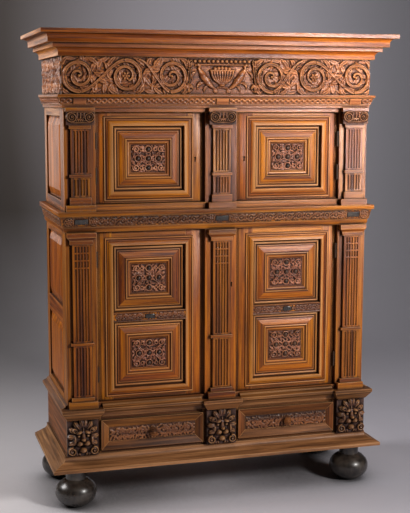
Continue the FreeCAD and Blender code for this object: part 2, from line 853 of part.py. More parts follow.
def lower_case():
    rails = (
        (step_z, step_z + d.lower_side_foot),
        middle(d.side_rail_height / 2, (lower_z + waist_z) / 2),
        (upper_z - d.lower_side_head, upper_z),
    )
    face = (front, front + d.post_thickness)
    pieces = side_frame("lower", step_z, upper_z, rails)
    for side_name, side in SIDES:
        post_x = across(side, post_inner, half)
        pieces.append(board("lower_%s_post" % side_name, post_x, face, (step_z, upper_z)))
    pieces.append(board("lower_bottom_rail", middle(post_inner), face, (step_z, lower_z)))
    pieces.append(board("lower_top_rail", middle(post_inner), face, (waist_z, upper_z)))
    node("lower_case_frame", pieces)
    side_panels("lower", rails)
    back_x = middle(half - d.rear_post_width)
    rear = (back - d.back_thickness, back)
    node("lower_back", [board("lower_back_board", back_x, rear, (step_z, upper_z))])
    inside = front + d.post_thickness
    floor_z = (lower_z - d.board_thickness, lower_z)
    node("lower_floor", [notched_board("lower_floor_board", side_inner, inside, floor_z)])
    lid_z = (upper_z - d.board_thickness, upper_z)
    lid = notched_board("lower_lid_board", side_inner, inside, lid_z)
    holes = group("lower_lid_holes", dowel_tools("lower_lid_hole", upper_z - d.dowel_depth, upper_z))
    node("lower_top", [join("Part::Cut", "lower_lid", lid, holes)])
    shelf("lower_shelf", lower_z + d.lower_shelf_height)


def upper_case():
    floor_top = upper_z + d.upper_floor_thickness
    ceiling = top_z - d.board_thickness
    rails = (
        (floor_top, floor_top + d.upper_side_foot),
        (architrave_z - d.upper_side_head, ceiling),
    )
    face = (front, front + d.post_thickness)
    pieces = side_frame("upper", floor_top, ceiling, rails)
    for side_name, side in SIDES:
        post_x = across(side, post_inner, half)
        pieces.append(board("upper_%s_post" % side_name, post_x, face, (floor_top, ceiling)))
    pieces.append(board("upper_sill", middle(post_inner), face, (floor_top, upper_sill_z)))
    pieces.append(board("upper_head", middle(post_inner), face, (upper_head_z, ceiling)))
    centre_x = middle(d.centre_post_width / 2)
    pieces.append(board("upper_centre_post", centre_x, face, (upper_sill_z, upper_head_z)))
    node("upper_case_frame", pieces)
    side_panels("upper", rails)
    back_x = middle(half - d.rear_post_width)
    rear = (back - d.back_thickness, back)
    node("upper_back", [board("upper_back_board", back_x, rear, (floor_top, ceiling))])
    floor_board = board("upper_floor_board", middle(half), (front, back), (upper_z, floor_top))
    holes = group("upper_floor_holes", dowel_tools("upper_floor_hole", upper_z, upper_z + d.dowel_depth))
    node("upper_floor", [join("Part::Cut", "upper_floor_drilled", floor_board, holes)])
    node("upper_top", [board("upper_top_board", middle(half), (front, back), (ceiling, top_z))])
    shelf("upper_shelf", upper_z + d.upper_shelf_height)
    node("locating_dowels", dowel_tools("dowel", upper_z - d.dowel_depth, upper_z + d.dowel_depth))


def fluted_shaft(name, x, face, z_span, dashes):
    """A flat shaft with five round flutes; dashes bridge them near the top."""
    block = pilaster_ring(name + "_block", x, face, z_span, d.pilaster_width, d.pilaster_projection)
    bottom = z_span[0] + d.flute_margin
    ceiling = z_span[1] - d.flute_margin
    spans = []
    for number in range(dashes):
        spans.append((ceiling - d.flute_dash, ceiling))
        ceiling = ceiling - d.flute_dash - d.flute_bridge
    spans.append((bottom, ceiling))
    tools = []
    for flute in range(-2, 3):
        for number, span in enumerate(spans):
            tool = cylinder("%s_flute_%d_%d" % (name, flute + 2, number), d.flute_radius, span[1] - span[0])
            tools.append(place(tool, x + flute * d.flute_pitch, face - d.pilaster_projection, span[0]))
    return join("Part::Cut", name, block, group(name + "_flutes", tools))


def pilaster_ring(name, x, face, z_span, width, projection):
    return board(name, middle(width / 2, x), outwards(face, 0, projection), z_span)


def tapered_block(name, x, face, z_span, below, above):
    """A block that spreads upwards from one width and projection to another."""
    low = (-below[0] / 2, below[0] / 2, 0, below[1])
    high = (-above[0] / 2, above[0] / 2, 0, above[1])
    piece = wedge(name, low, high, z_span[1] - z_span[0])
    return place(turn(piece, X_AXIS, Z_AXIS, -Y_AXIS), x, face, z_span[0])


def shaft_with_collar(name, x, face, z_span, collar_height, ring, dashes):
    collar_z = z_span[0] + collar_height
    collar_top = collar_z + d.collar_thickness
    return [
        fluted_shaft(name + "_lower_shaft", x, face, (z_span[0], collar_z), 0),
        pilaster_ring(name + "_collar", x, face, (collar_z, collar_top), *ring),
        fluted_shaft(name + "_upper_shaft", x, face, (collar_top, z_span[1]), dashes),
    ]


def lower_pilaster(name, x, face, bottom, top):
    """A Tuscan pilaster with a plain block capital."""
    block_top = bottom + d.lower_base_block
    base_top = bottom + d.lower_base_height
    neck = top - d.lower_capital_height
    abacus = top - d.lower_abacus_height
    abacus_low = abacus + d.lower_taper_height
    ring = (d.pilaster_ring_width, d.pilaster_ring_projection)
    capital = (d.pilaster_block_width, d.pilaster_block_projection)
    pieces = [
        pilaster_ring(name + "_base_block", x, face, (bottom, block_top), *capital),
        pilaster_ring(name + "_base_ring", x, face, (block_top, base_top), *ring),
        pilaster_ring(name + "_neck", x, face, (neck, abacus), *ring),
        tapered_block(name + "_taper", x, face, (abacus, abacus_low), ring, capital),
        pilaster_ring(name + "_abacus", x, face, (abacus_low, top), *capital),
    ]
    return pieces + shaft_with_collar(name, x, face, (base_top, neck), d.lower_collar_height, ring, 3)


def upper_pilaster(name, x):
    """An Ionic pilaster with a volute at each end of its capital."""
    block_top = upper_z + d.upper_base_block
    base_top = upper_z + d.upper_base_height
    neck = architrave_z - d.upper_capital_height
    abacus = architrave_z - d.upper_abacus_height
    echinus = abacus - d.volute_radius * 2
    ring = (d.upper_ring_width, d.pilaster_ring_projection)
    capital = (d.pilaster_block_width, d.pilaster_block_projection)
    spread = d.upper_capital_width / 2 - d.volute_radius
    pieces = [
        pilaster_ring(name + "_base_block", x, front, (upper_z, block_top), *capital),
        pilaster_ring(name + "_base_ring", x, front, (block_top, base_top), *ring),
        pilaster_ring(name + "_neck", x, front, (neck, echinus), *ring),
        pilaster_ring(name + "_echinus", x, front, (echinus, abacus),
                      d.upper_capital_width - d.volute_radius * 4, d.pilaster_block_projection),
        pilaster_ring(name + "_abacus", x, front, (abacus, architrave_z), *capital),
    ]
    for side_name, side in SIDES:
        volute = cylinder("%s_%s_volute" % (name, side_name), d.volute_radius, d.pilaster_block_projection)
        turn(volute, X_AXIS, Z_AXIS, -Y_AXIS)
        pieces.append(place(volute, x + side * spread, front, echinus + d.volute_radius))
    return pieces + shaft_with_collar(name, x, front, (base_top, neck), d.upper_collar_height, ring, 0)


def pilasters():
    zero = as_size(0)
    foot_z = step_z + d.step_nose_low + d.step_cap_height
    pieces = []
    for side_name, side in SIDES:
        pieces += lower_pilaster("lower_%s_pilaster" % side_name, side * pilaster_x, front, foot_z, waist_z)
    node("lower_pilasters", pieces)
    # The middle pilaster swings with the left door, just clear of what it stands on.
    node("lower_left_door_pilaster", lower_pilaster("lower_middle_pilaster", zero, front - d.cover_relief,
                                                    foot_z + d.lower_foot_gap, waist_z - d.door_lift))
    pieces = []
    for name, x in (("left", -pilaster_x), ("centre", zero), ("right", pilaster_x)):
        pieces += upper_pilaster("upper_%s_pilaster" % name, x)
    node("upper_pilasters", pieces)


def reeded_board(name, x_span, z_span, edge_x, inward):
    """A door stile with three fine hollows along its outer edge."""
    plain = board(name + "_plain", x_span, (door_front, door_back), z_span)
    hollows = []
    for number in range(3):
        hollow = cylinder("%s_hollow_%d" % (name, number), d.reed_radius, z_span[1] - z_span[0])
        offset = d.reed_margin + number * d.reed_pitch
        hollows.append(place(hollow, edge_x + inward * offset, door_front, z_span[0]))
    return join("Part::Cut", name, plain, group(name + "_reeds", hollows))


def door_outline(side, bottom, top, bottom_margin, top_margin):
    """The bolection's outer rectangle on a door."""
    x_low, x_high = across(side, door_free + d.free_margin, door_hinged - d.hinge_margin)
    return (x_low, x_high, bottom + bottom_margin, top - top_margin)


def with_keyhole(name, piece, x, z, y_span):
    """Cuts a round hole with a slot below it through a board."""
    hole = cylinder(name + "_round", d.keyhole_radius, y_span[1] - y_span[0])
    place(turn(hole, X_AXIS, Z_AXIS, -Y_AXIS), x, y_span[1], z)
    slot_z = (z - d.keyhole_radius - d.keyhole_slot_height, z)
    slot = board(name + "_slot", middle(d.keyhole_slot_width / 2, x), y_span, slot_z)
    return join("Part::Cut", name, piece, join("Part::Fuse", name + "_shape", hole, slot))


def door_frame(name, side, bottom, top, opening, band):
    """Stiles and rails of one door, with a middle rail where it has a band."""
    hinge_edge = side * door_hinged
    free_edge = side * door_free
    z_span = (bottom, top)
    hinge_span = (hinge_edge, opening[0]) if side < 0 else (opening[1], hinge_edge)
    free_span = (opening[1], free_edge) if side < 0 else (free_edge, opening[0])
    rail_x = (opening[0], opening[1])
    rail_y = (door_front, door_back)
    free_stile = reeded_board(name + "_free_stile", free_span, z_span, free_edge, side)
    if not band:
        keyhole_x = free_edge + side * (d.lock_setback + d.keyhole_backset)
        keyhole_z = upper_sill_z + d.upper_lock_height
        free_stile = with_keyhole(name + "_keyhole", free_stile, keyhole_x, keyhole_z, rail_y)
    pieces = [
        reeded_board(name + "_hinge_stile", hinge_span, z_span, hinge_edge, -side),
        free_stile,
        board(name + "_bottom_rail", rail_x, rail_y, (bottom, opening[2])),
        board(name + "_top_rail", rail_x, rail_y, (opening[3], top)),
    ]
    if band:
        pieces.append(board(name + "_middle_rail", rail_x, rail_y, band))
    return pieces


def bolection(name, rect):
    """The outer moulding: a long slope that climbs from the frame, and a short riser down to the panel."""
    reach = d.bolection_width - d.bolection_riser
    slope = mitred_frame(name + "_slope", rect, door_front, reach, d.bolection_lip, d.bolection_rise)
    riser = mitred_frame(name + "_riser", inset(rect, reach), door_front, d.bolection_riser,
                         d.bolection_rise, d.bolection_lip)
    return slope + riser


def panel(name, rect):
    """A sunk panel with a frame that climbs to a crest and drops to a sunk field for the carving."""
    face = door_front + d.panel_depth
    board_y = (face, face + d.panel_thickness)
    pieces = [board(name + "_board", (rect[0], rect[1]), board_y, (rect[2], rect[3]))]
    outer = inset(rect, d.panel_groove)
    pieces += mitred_frame(name + "_slope", outer, face, d.panel_slope, d.panel_lip, d.panel_rise)
    crest = inset(outer, d.panel_slope)
    pieces += mitred_frame(name + "_riser", crest, face, d.panel_riser, d.panel_rise, d.field_rise)
    field = inset(crest, d.panel_riser)
    field_y = outwards(face, 0, d.field_rise)
    pieces.append(board(name + "_field", (field[0], field[1]), field_y, (field[2], field[3])))
    return pieces


def hinge_levels(bottom, top):
    return (bottom + d.hinge_margin_height, top - d.hinge_margin_height - d.knuckle_height * 2)


def hinge_leaf(name, side, z, knuckle_z, x_inner, x_outer, bore):
    """A leaf in the gap between door and post, with half of the knuckle."""
    leaf_y = hinge_y + d.knuckle_radius + d.fit_clearance
    leaf_x = across(side, x_inner, x_outer)
    plate_y = (leaf_y, leaf_y + d.leaf_depth)
    plate = board(name + "_plate", leaf_x, plate_y, (z, z + d.knuckle_height * 2))
    web = board(name + "_web", leaf_x, (hinge_y, leaf_y), (knuckle_z, knuckle_z + d.knuckle_height))
    barrel = cylinder(name + "_barrel", d.knuckle_radius, d.knuckle_height)
    place(barrel, side * hinge_x, hinge_y, knuckle_z)
    hole = cylinder(name + "_hole", bore, d.knuckle_height)
    place(hole, side * hinge_x, hinge_y, knuckle_z)
    flat = join("Part::Fuse", name + "_flat", plate, web)
    whole = join("Part::Fuse", name + "_whole", flat, barrel)
    return join("Part::Cut", name, whole, hole)


def hinges(name, side, bottom, top):
    """Two lift-off hinges of one door: its leaves, the case's leaves and their pins."""
    door_leaves = []
    case_leaves = []
    pins = []
    for number, z in enumerate(hinge_levels(bottom, top)):
        label = "%s_hinge_%d" % (name, number)
        high = z + d.knuckle_height
        loose = d.hinge_pin_radius + d.running_clearance
        door_leaves.append(hinge_leaf(label + "_door_leaf", side, z, high + d.fit_clearance,
                                      door_hinged, door_hinged + d.leaf_thickness, loose))
        case_leaves.append(hinge_leaf(label + "_case_leaf", side, z, z,
                                      post_inner - d.leaf_thickness, post_inner, d.hinge_pin_radius))
        pin = cylinder(label + "_pin", d.hinge_pin_radius, d.knuckle_height * 2)
        pins.append(place(pin, side * hinge_x, hinge_y, z))
    return door_leaves, case_leaves, pins


def lock(name, side, edge, z):
    """A rim lock behind a door's free edge, and the bolt that slides in it."""
    low = edge if side > 0 else edge - d.lock_width
    x_span = (low, low + d.lock_width)
    y_span = (door_back, door_back + d.lock_depth)
    z_span = (z - d.lock_height / 2, z + d.lock_height / 2)
    case = board(name + "_case", x_span, y_span, z_span)
    slack = d.fit_clearance
    start = edge if side > 0 else edge - d.bolt_length
    bolt_x = (start, start + d.bolt_length)
    bolt_y = middle(d.bolt_thickness / 2, door_back + d.lock_depth / 2)
    bolt_z = middle(d.bolt_height / 2, z)
    slot_x = (edge, edge + d.bolt_length + slack) if side > 0 else (edge - d.bolt_length - slack, edge)
    slot_y = (bolt_y[0] - slack, bolt_y[1] + slack)
    slot_z = (bolt_z[0] - slack, bolt_z[1] + slack)
    slot = board(name + "_slot", slot_x, slot_y, slot_z)
    node(name + "_lock", [join("Part::Cut", name + "_lock_body", case, slot)])
    node(name + "_bolt", [board(name + "_bolt_bar", bolt_x, bolt_y, bolt_z)])


def upper_doors():
    case_leaves = []
    pins = []
    for side_name, side in SIDES:
        name = "upper_%s_door" % side_name
        bottom = upper_sill_z + d.door_lift
        top = upper_head_z - d.door_lift
        rect = door_outline(side, bottom, top, d.upper_door_bottom_margin, d.upper_door_top_margin)
        opening = inset(rect, d.bolection_width)
        node(name + "_frame", door_frame(name, side, bottom, top, opening, None))
        node(name + "_moulding", bolection(name + "_bolection", rect))
        node(name + "_panel", panel(name + "_panel", opening))
        door_leaves, more_leaves, more_pins = hinges(name, side, bottom, top)
        node(name + "_hinge_leaves", door_leaves)
        lock(name, side, side * (door_free + d.lock_setback), upper_sill_z + d.upper_lock_height)
        case_leaves += more_leaves
        pins += more_pins
    return case_leaves, pins


def door_tablet(name, x, band):
    """The black tablet in the middle of a door's carved band."""
    face = door_front - d.band_rise
    z_span = middle(d.tablet_height / 2, (band[0] + band[1]) / 2)
    return board(name, middle(d.tablet_width / 2, x), outwards(face, 0, d.tablet_rise), z_span)


def middle_boards(name, cover, bottom, top):
    """The board between the two lower doors and the stile behind it."""
    z_span = (bottom, top)
    keyhole_x = cover - d.lower_keyhole_backset
    keyhole_z = lower_z + d.lower_lock_height
    face_y = (front - d.cover_relief, door_front)
    stile_y = (door_front, door_back)
    face = board(name + "_middle_board_plain", middle(cover), face_y, z_span)
    stile = board(name + "_middle_stile_plain", (-door_free, cover), stile_y, z_span)
    return [
        with_keyhole(name + "_middle_board", face, keyhole_x, keyhole_z, face_y),
        with_keyhole(name + "_middle_stile", stile, keyhole_x, keyhole_z, stile_y),
    ]


def lower_doors():
    case_leaves = []
    pins = []
    cover = d.centre_post_width / 2
    for side_name, side in SIDES:
        name = "lower_%s_door" % side_name
        bottom = lower_z + d.door_lift
        top = waist_z - d.door_lift
        rect = door_outline(side, bottom, top, d.lower_door_bottom_margin, d.lower_door_top_margin)
        opening = inset(rect, d.bolection_width)
        band = (bottom + d.band_bottom, bottom + d.band_bottom + d.band_height)
        frame = door_frame(name, side, bottom, top, opening, band)
        if side < 0:
            # The left door carries the middle board, with its stile behind it.
            frame += middle_boards(name, cover, bottom, top)
        node(name + "_frame", frame)
        node(name + "_moulding", bolection(name + "_bolection", rect))
        panels = panel(name + "_upper_panel", (opening[0], opening[1], band[1], opening[3]))
        panels += panel(name + "_lower_panel", (opening[0], opening[1], opening[2], band[0]))
        band_y = outwards(door_front, 0, d.band_rise)
        panels.append(board(name + "_band", (opening[0], opening[1]), band_y, band))
        node(name + "_panels", panels)
        node(name + "_tablet", [door_tablet(name + "_tablet_block", (opening[0] + opening[1]) / 2, band)])
        door_leaves, more_leaves, more_pins = hinges(name, side, bottom, top)
        node(name + "_hinge_leaves", door_leaves)
        case_leaves += more_leaves
        pins += more_pins
    lock("lower_left_door", -1, cover - d.lock_setback, lower_z + d.lower_lock_height)
    return case_leaves, pins


def knob(name, x, y, z):
    """A turned knob with a rose, a stem and a low domed crown."""
    stem_high = d.knob_rose_height + d.knob_stem_length
    rim_low = stem_high + d.knob_flare
    rim_high = rim_low + d.knob_rim
    dome = root(d.knob_radius * d.knob_radius + d.knob_crown * d.knob_crown) / (d.knob_crown * 2)
    outline = [
        (0, 0),
        (d.knob_rose_radius, 0),
        (d.knob_rose_radius, d.knob_rose_height),
        (d.knob_stem_radius, d.knob_rose_height),
        (d.knob_stem_radius, stem_high),
        (d.knob_radius, rim_low),
        (d.knob_radius, rim_high),
        Arc(0, rim_high + d.knob_crown, dome, False),
    ]
    body = turn(turned(name, outline), X_AXIS, Z_AXIS, -Y_AXIS)
    return place(body, x, y, z)


def drawer(side_name, side):
    name = "%s_drawer" % side_name
    stile = d.lion_block_width / 2 + d.drawer_stile
    inner = plinth_half - d.lion_block_width - d.drawer_stile
    x_low, x_high = across(side, stile + d.drawer_gap, inner - d.drawer_gap)
    z_low = plinth_z + d.drawer_rail + d.drawer_gap
    z_high = step_z - d.drawer_rail - d.drawer_gap
    face_y = (front, front + d.drawer_front_thickness)
    pieces = [board(name + "_face", (x_low, x_high), face_y, (z_low, z_high))]
    pieces += mitred_frame(name + "_frame", (x_low, x_high, z_low, z_high), front, d.drawer_moulding_width,
                           d.drawer_moulding_rise, d.drawer_field_rise)
    node(name + "_front", pieces)
    side_low = x_low + d.drawer_side_inset
    side_high = x_high - d.drawer_side_inset
    wall = d.drawer_side_thickness
    y_span = (face_y[1], back - d.back_thickness - d.drawer_back_gap)
    wall_z = (z_low, z_low + d.drawer_side_height)
    floor_z = (z_low + d.drawer_bottom_rise, z_low + d.drawer_bottom_rise + d.drawer_bottom_thickness)
    inside_x = (side_low + wall, side_high - wall)
    node(name + "_box", [
        board(name + "_left_wall", (side_low, side_low + wall), y_span, wall_z),
        board(name + "_right_wall", (side_high - wall, side_high), y_span, wall_z),
        board(name + "_back_wall", inside_x, (y_span[1] - wall, y_span[1]), wall_z),
        board(name + "_bottom", inside_x, (y_span[0], y_span[1] - wall), floor_z),
    ])
    x_mid = (x_low + x_high) / 2
    node(name + "_knob", [knob(name + "_turned_knob", x_mid, front, (z_low + z_high) / 2)])
    runner_z = (plinth_z, z_low - d.fit_clearance)
    runner_y = (front + d.post_thickness, back - d.back_thickness)
    bay = (x_low - d.drawer_gap, x_high + d.drawer_gap)
    guide_z = (runner_z[1], runner_z[1] + d.guide_height)
    return [
        board(name + "_left_runner", (bay[0], bay[0] + d.runner_width), runner_y, runner_z),
        board(name + "_right_runner", (bay[1] - d.runner_width, bay[1]), runner_y, runner_z),
        board(name + "_left_guide", (bay[0], side_low - d.fit_clearance), runner_y, guide_z),
        board(name + "_right_guide", (side_high + d.fit_clearance, bay[1]), runner_y, guide_z),
    ]


def drawers():
    runners = []
    for side_name, side in SIDES:
        runners += drawer(side_name, side)
    node("drawer_runners", runners)


def doors():
    upper_leaves, upper_pins = upper_doors()
    lower_leaves, lower_pins = lower_doors()
    node("hinge_case_leaves", upper_leaves + lower_leaves)
    node("hinge_pins", upper_pins + lower_pins)


def check(thing):
    """Stops on a failed object or a broken shape."""
    if "Invalid" in thing.State or "Error" in thing.State:
        raise RuntimeError(thing.Name + " failed: " + ", ".join(thing.State))
    shape = getattr(thing, "Shape", None)
    if shape is not None and (shape.isNull() or not shape.isValid()):
        raise RuntimeError(thing.Name + " has no valid shape")


def main():
    feet()
    plinth_case()
    base_moulding()
    lion_blocks()
    step_moulding()
    drawers()
    lower_case()
    waist_moulding()
    waist_tablets()
    upper_case()
    architrave()
    frieze()
    cornice()
    pilasters()
    doors()
    doc.recompute()
    for thing in doc.Objects:
        if not thing.isDerivedFrom("App::OriginFeature") and not thing.isDerivedFrom("App::Origin"):
            check(thing)
    os.makedirs("parts", exist_ok=True)
    for thing in NODES:
        if not thing.Shape.Solids:
            raise RuntimeError(thing.Label + " holds no solid")
        thing.Shape.exportStep(os.path.join("parts", thing.Label + ".step"))
    print(len(NODES), "sub-parts")


main()
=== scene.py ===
"""Looks of a tall two-part oak cabinet: eased boards, carved bands, masks and capitals."""

import json
import math

import bmesh
import bpy
import numpy as np
from mathutils import Matrix, Vector

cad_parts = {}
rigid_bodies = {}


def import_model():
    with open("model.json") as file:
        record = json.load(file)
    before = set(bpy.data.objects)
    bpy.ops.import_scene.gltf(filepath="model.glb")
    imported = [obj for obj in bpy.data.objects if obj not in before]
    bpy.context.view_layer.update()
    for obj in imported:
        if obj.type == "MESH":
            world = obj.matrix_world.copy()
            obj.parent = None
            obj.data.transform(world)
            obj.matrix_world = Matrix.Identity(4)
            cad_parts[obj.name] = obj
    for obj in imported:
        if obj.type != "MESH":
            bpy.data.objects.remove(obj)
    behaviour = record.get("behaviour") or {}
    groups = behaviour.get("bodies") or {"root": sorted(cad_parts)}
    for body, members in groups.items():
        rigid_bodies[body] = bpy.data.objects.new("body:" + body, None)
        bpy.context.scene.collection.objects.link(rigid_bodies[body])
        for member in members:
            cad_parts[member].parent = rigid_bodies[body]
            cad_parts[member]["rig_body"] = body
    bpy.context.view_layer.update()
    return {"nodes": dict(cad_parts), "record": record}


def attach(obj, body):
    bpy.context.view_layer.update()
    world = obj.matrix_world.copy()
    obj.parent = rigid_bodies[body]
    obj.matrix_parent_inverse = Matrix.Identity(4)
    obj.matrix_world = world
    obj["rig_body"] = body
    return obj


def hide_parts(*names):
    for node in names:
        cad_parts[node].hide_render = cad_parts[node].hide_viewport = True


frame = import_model()

MM = 0.001
SEED = 1640
CASE = "cabinet"
HANDS = ((-1, "left"), (1, "right"))

# The carcass, in millimetres
FRONT = -232.5
BACK = 342.5
HALF = 736.0
SIDE_MIDDLE = (FRONT + BACK) / 2
SIDE_RECESS = 13.0
FIELD_STRETCH = 1.9
PILASTERS = (-665.0, 0.0, 665.0)
FRIEZE_LENGTH = 2 * HALF + 4
FRIEZE_HEIGHT = 165.0
FRIEZE_MIDDLE = 2001.5
FRIEZE_OUT = 6.0

# Edges: how far they are eased, from which angle on, and up to which angle a surface shades as one
EASE = 1.3
EASE_FROM = math.radians(24)
SMOOTH_TO = math.radians(22)
SMOOTH_BOARD = math.radians(13)
SMOOTH_CARVING = math.radians(50)
draws = np.random.default_rng(SEED)


# Colours and shader graphs

def srgb(red, green, blue):
    """A colour given in screen values, as the linear colour a shader takes."""
    values = np.array((red, green, blue)) / 255
    linear = np.where(values < 0.04045, values / 12.92, ((values + 0.055) / 1.055) ** 2.4)
    return (*linear.tolist(), 1.0)


class Graph:
    """A node material, built one node at a time."""

    def __init__(self, name):
        self.material = bpy.data.materials.new(name)
        self.material.use_nodes = True
        self.tree = self.material.node_tree
        self.tree.nodes.clear()

    def add(self, kind, inputs=None, **settings):
        node = self.tree.nodes.new("ShaderNode" + kind)
        for key, value in settings.items():
            setattr(node, key, value)
        for key, value in (inputs or {}).items():
            self.feed(node.inputs[key], value)
        return node

    def feed(self, socket, value):
        if isinstance(value, bpy.types.NodeSocket):
            self.tree.links.new(value, socket)
        else:
            socket.default_value = value

    def attribute(self, name, output="Fac"):
        return self.add("Attribute", attribute_name=name).outputs[output]

    def times(self, value, weight, more=0.0, clamp=False):
        """A value times a weight, plus more."""
        inputs = {0: value, 1: weight, 2: more}
        return self.add("Math", inputs, operation="MULTIPLY_ADD", use_clamp=clamp).outputs[0]

    def span(self, value, low, high, to_low=0.0, to_high=1.0):
        inputs = {"Value": value, "From Min": low, "From Max": high, "To Min": to_low, "To Max": to_high}
        return self.add("MapRange", inputs).outputs[0]

    def mix(self, share, first, second):
        """One colour over another, the second a socket or a colour in screen values."""
        node = self.add("Mix", data_type="RGBA")
        self.feed(node.inputs[0], share)
        self.feed(node.inputs[6], first)
        self.feed(node.inputs[7], srgb(*second) if isinstance(second, tuple) else second)
        return node.outputs[2]

    def noise(self, vector, scale, detail=4.0, roughness=0.55, distortion=0.0):
        """Noise stretched by a scale along each axis."""
        stretched = self.add("Mapping", {"Vector": vector, "Scale": scale}).outputs[0]
        inputs = {"Vector": stretched, "Scale": 1.0, "Detail": detail,
                  "Roughness": roughness, "Distortion": distortion}
        return self.add("TexNoise", inputs).outputs[0]

    def nooks(self, distance, clear, shut, most, samples=6):
        """How far a place is shut in by what stands round it, up to most."""
        light = self.add("AmbientOcclusion", {"Distance": distance}, samples=samples).outputs["AO"]
        return self.span(light, clear, shut, 0.0, most)

    def ramp(self, value, stops):
        """A colour between stops, each a place and a colour in screen values."""
        node = self.add("ValToRGB", {"Fac": value})
        elements = node.color_ramp.elements
        while len(elements) < len(stops):
            elements.new(0.5)
        for element, (place, colour) in zip(elements, stops):
            element.position = place
            element.color = srgb(*colour)
        return node.outputs[0]

    def finish(self, shader):
        output = self.add("OutputMaterial")
        self.tree.links.new(shader.outputs[0], output.inputs[0])
        return self.material

    def skin(self, colour, gloss, height, strength, distance, more):
        """The whole material: colour, roughness, a bump over a height, and more of the shader's inputs."""
        bump = self.add("Bump", {"Strength": strength, "Distance": distance, "Height": height})
        inputs = {"Base Color": colour, "Roughness": gloss, "Normal": bump.outputs[0], **more}
        return self.finish(self.add("BsdfPrincipled", inputs))


def oak(name, pale, middle, dark, sheen=0.33, shade_and_dirt_share=0.88, coat=0.0):
    """Oak with long streaks, growth bands, ray flecks and pores, painted shade with soiling in quirks, corners
    and hollows, and worn edges and crests with a painted highlight.
    """
    g = Graph(name)
    grain = g.attribute("grain", "Vector")
    tone = g.attribute("tone")
    hollow = g.attribute("cavity")
    eased_edge = g.attribute("eased_edge")
    streaks = g.noise(grain, (2.0, 62, 62), 6.0, 0.62, 0.3)
    bands = g.noise(grain, (0.9, 17, 17), 3.0, 0.5, 0.8)
    clouds = g.noise(grain, (3.0, 5, 5), 2.0)
    flecks = g.noise(grain, (22, 70, 230), 2.0)
    pores = g.noise(grain, (60, 1100, 1100), 2.0)
    figure = g.times(streaks, 0.6, g.times(bands, 0.4))
    colour = g.ramp(figure, ((0.39, dark), (0.49, middle), (0.59, pale)))
    fine = g.noise(grain, (7, 240, 240), 2.0, 0.6)
    value = g.times(tone, 0.11, g.span(clouds, 0.3, 0.7, 0.88, 1.12))
    value = g.times(value, g.span(fine, 0.32, 0.68, 0.74, 1.24))
    hue = g.times(tone, 0.006, 0.5)
    colour = g.add("HueSaturation", {"Hue": hue, "Value": value, "Color": colour}).outputs[0]
    fleck_share = g.span(flecks, 0.6, 0.74, 0.0, 0.22)
    colour = g.mix(fleck_share, colour, pale)
    pore_share = g.span(pores, 0.56, 0.7, 0.0, 0.42)
    colour = g.mix(pore_share, colour, dark)
    # Painted shade: occlusion darkens quirks, corners and sunk places towards near-black brown, standing for
    # shade and soiling together.
    crease_shade = g.nooks(0.012, 0.94, 0.5, 0.8)
    corners = g.nooks(0.05, 0.88, 0.35, 0.75)
    nook_shade = g.times(crease_shade, 1.0, corners, True)
    painted_shade_and_dirt = g.times(nook_shade, 1.0, g.span(hollow, 0.0, 0.8), True)
    painted_shade_and_dirt = g.times(painted_shade_and_dirt, shade_and_dirt_share)
    colour = g.mix(painted_shade_and_dirt, colour, (38, 15, 5))
    # Eased edges and crests are lightened in patches towards pale pinkish brown: partly worn, partly a painted
    # highlight.
    raised = g.times(eased_edge, 1.0, g.span(hollow, -0.1, -0.7), True)
    worn_and_highlit = g.times(raised, g.span(clouds, 0.35, 0.65, 0.25, 0.75))
    colour = g.mix(worn_and_highlit, colour, (208, 150, 92))
    gloss = g.times(painted_shade_and_dirt, 0.45, g.span(streaks, 0.3, 0.7, sheen + 0.1, sheen - 0.06))
    uneven = g.times(streaks, 0.5, g.times(pore_share, -1.2, g.times(clouds, 1.1)))
    polish = {"Coat Weight": coat, "Coat Roughness": 0.28, "Specular IOR Level": 0.37}
    return g.skin(colour, gloss, uneven, 0.35, 0.0011, polish)


def black_wood(name):
    """Blackened, polished wood, greyer where it has been rubbed."""
    g = Graph(name)
    place = g.add("TexCoord").outputs["Object"]
    streaks = g.noise(place, (55, 55, 9), 4.0, 0.6)
    rubs = g.noise(place, (11, 11, 16), 3.0, 0.6)
    colour = g.ramp(streaks, ((0.3, (24, 20, 18)), (0.7, (58, 50, 44))))
    colour = g.mix(g.span(rubs, 0.52, 0.72, 0.0, 0.5), colour, (96, 86, 76))
    gloss = g.span(rubs, 0.3, 0.7, 0.2, 0.42)
    return g.skin(colour, gloss, streaks, 0.25, 0.0012, {"Coat Weight": 0.3, "Coat Roughness": 0.2})


def iron(name):
    """Forged iron, dark and a little rusty, with hammer marks."""
    g = Graph(name)
    place = g.add("TexCoord").outputs["Object"]
    spots = g.noise(place, (90, 90, 90), 5.0, 0.65)
    marks = g.noise(place, (45, 45, 45), 1.0)
    colour = g.ramp(spots, ((0.35, (40, 26, 16)), (0.55, (66, 42, 24)), (0.72, (92, 56, 30))))
    gloss = g.span(spots, 0.3, 0.7, 0.38, 0.7)
    return g.skin(colour, gloss, marks, 0.5, 0.001, {"Metallic": 0.25})


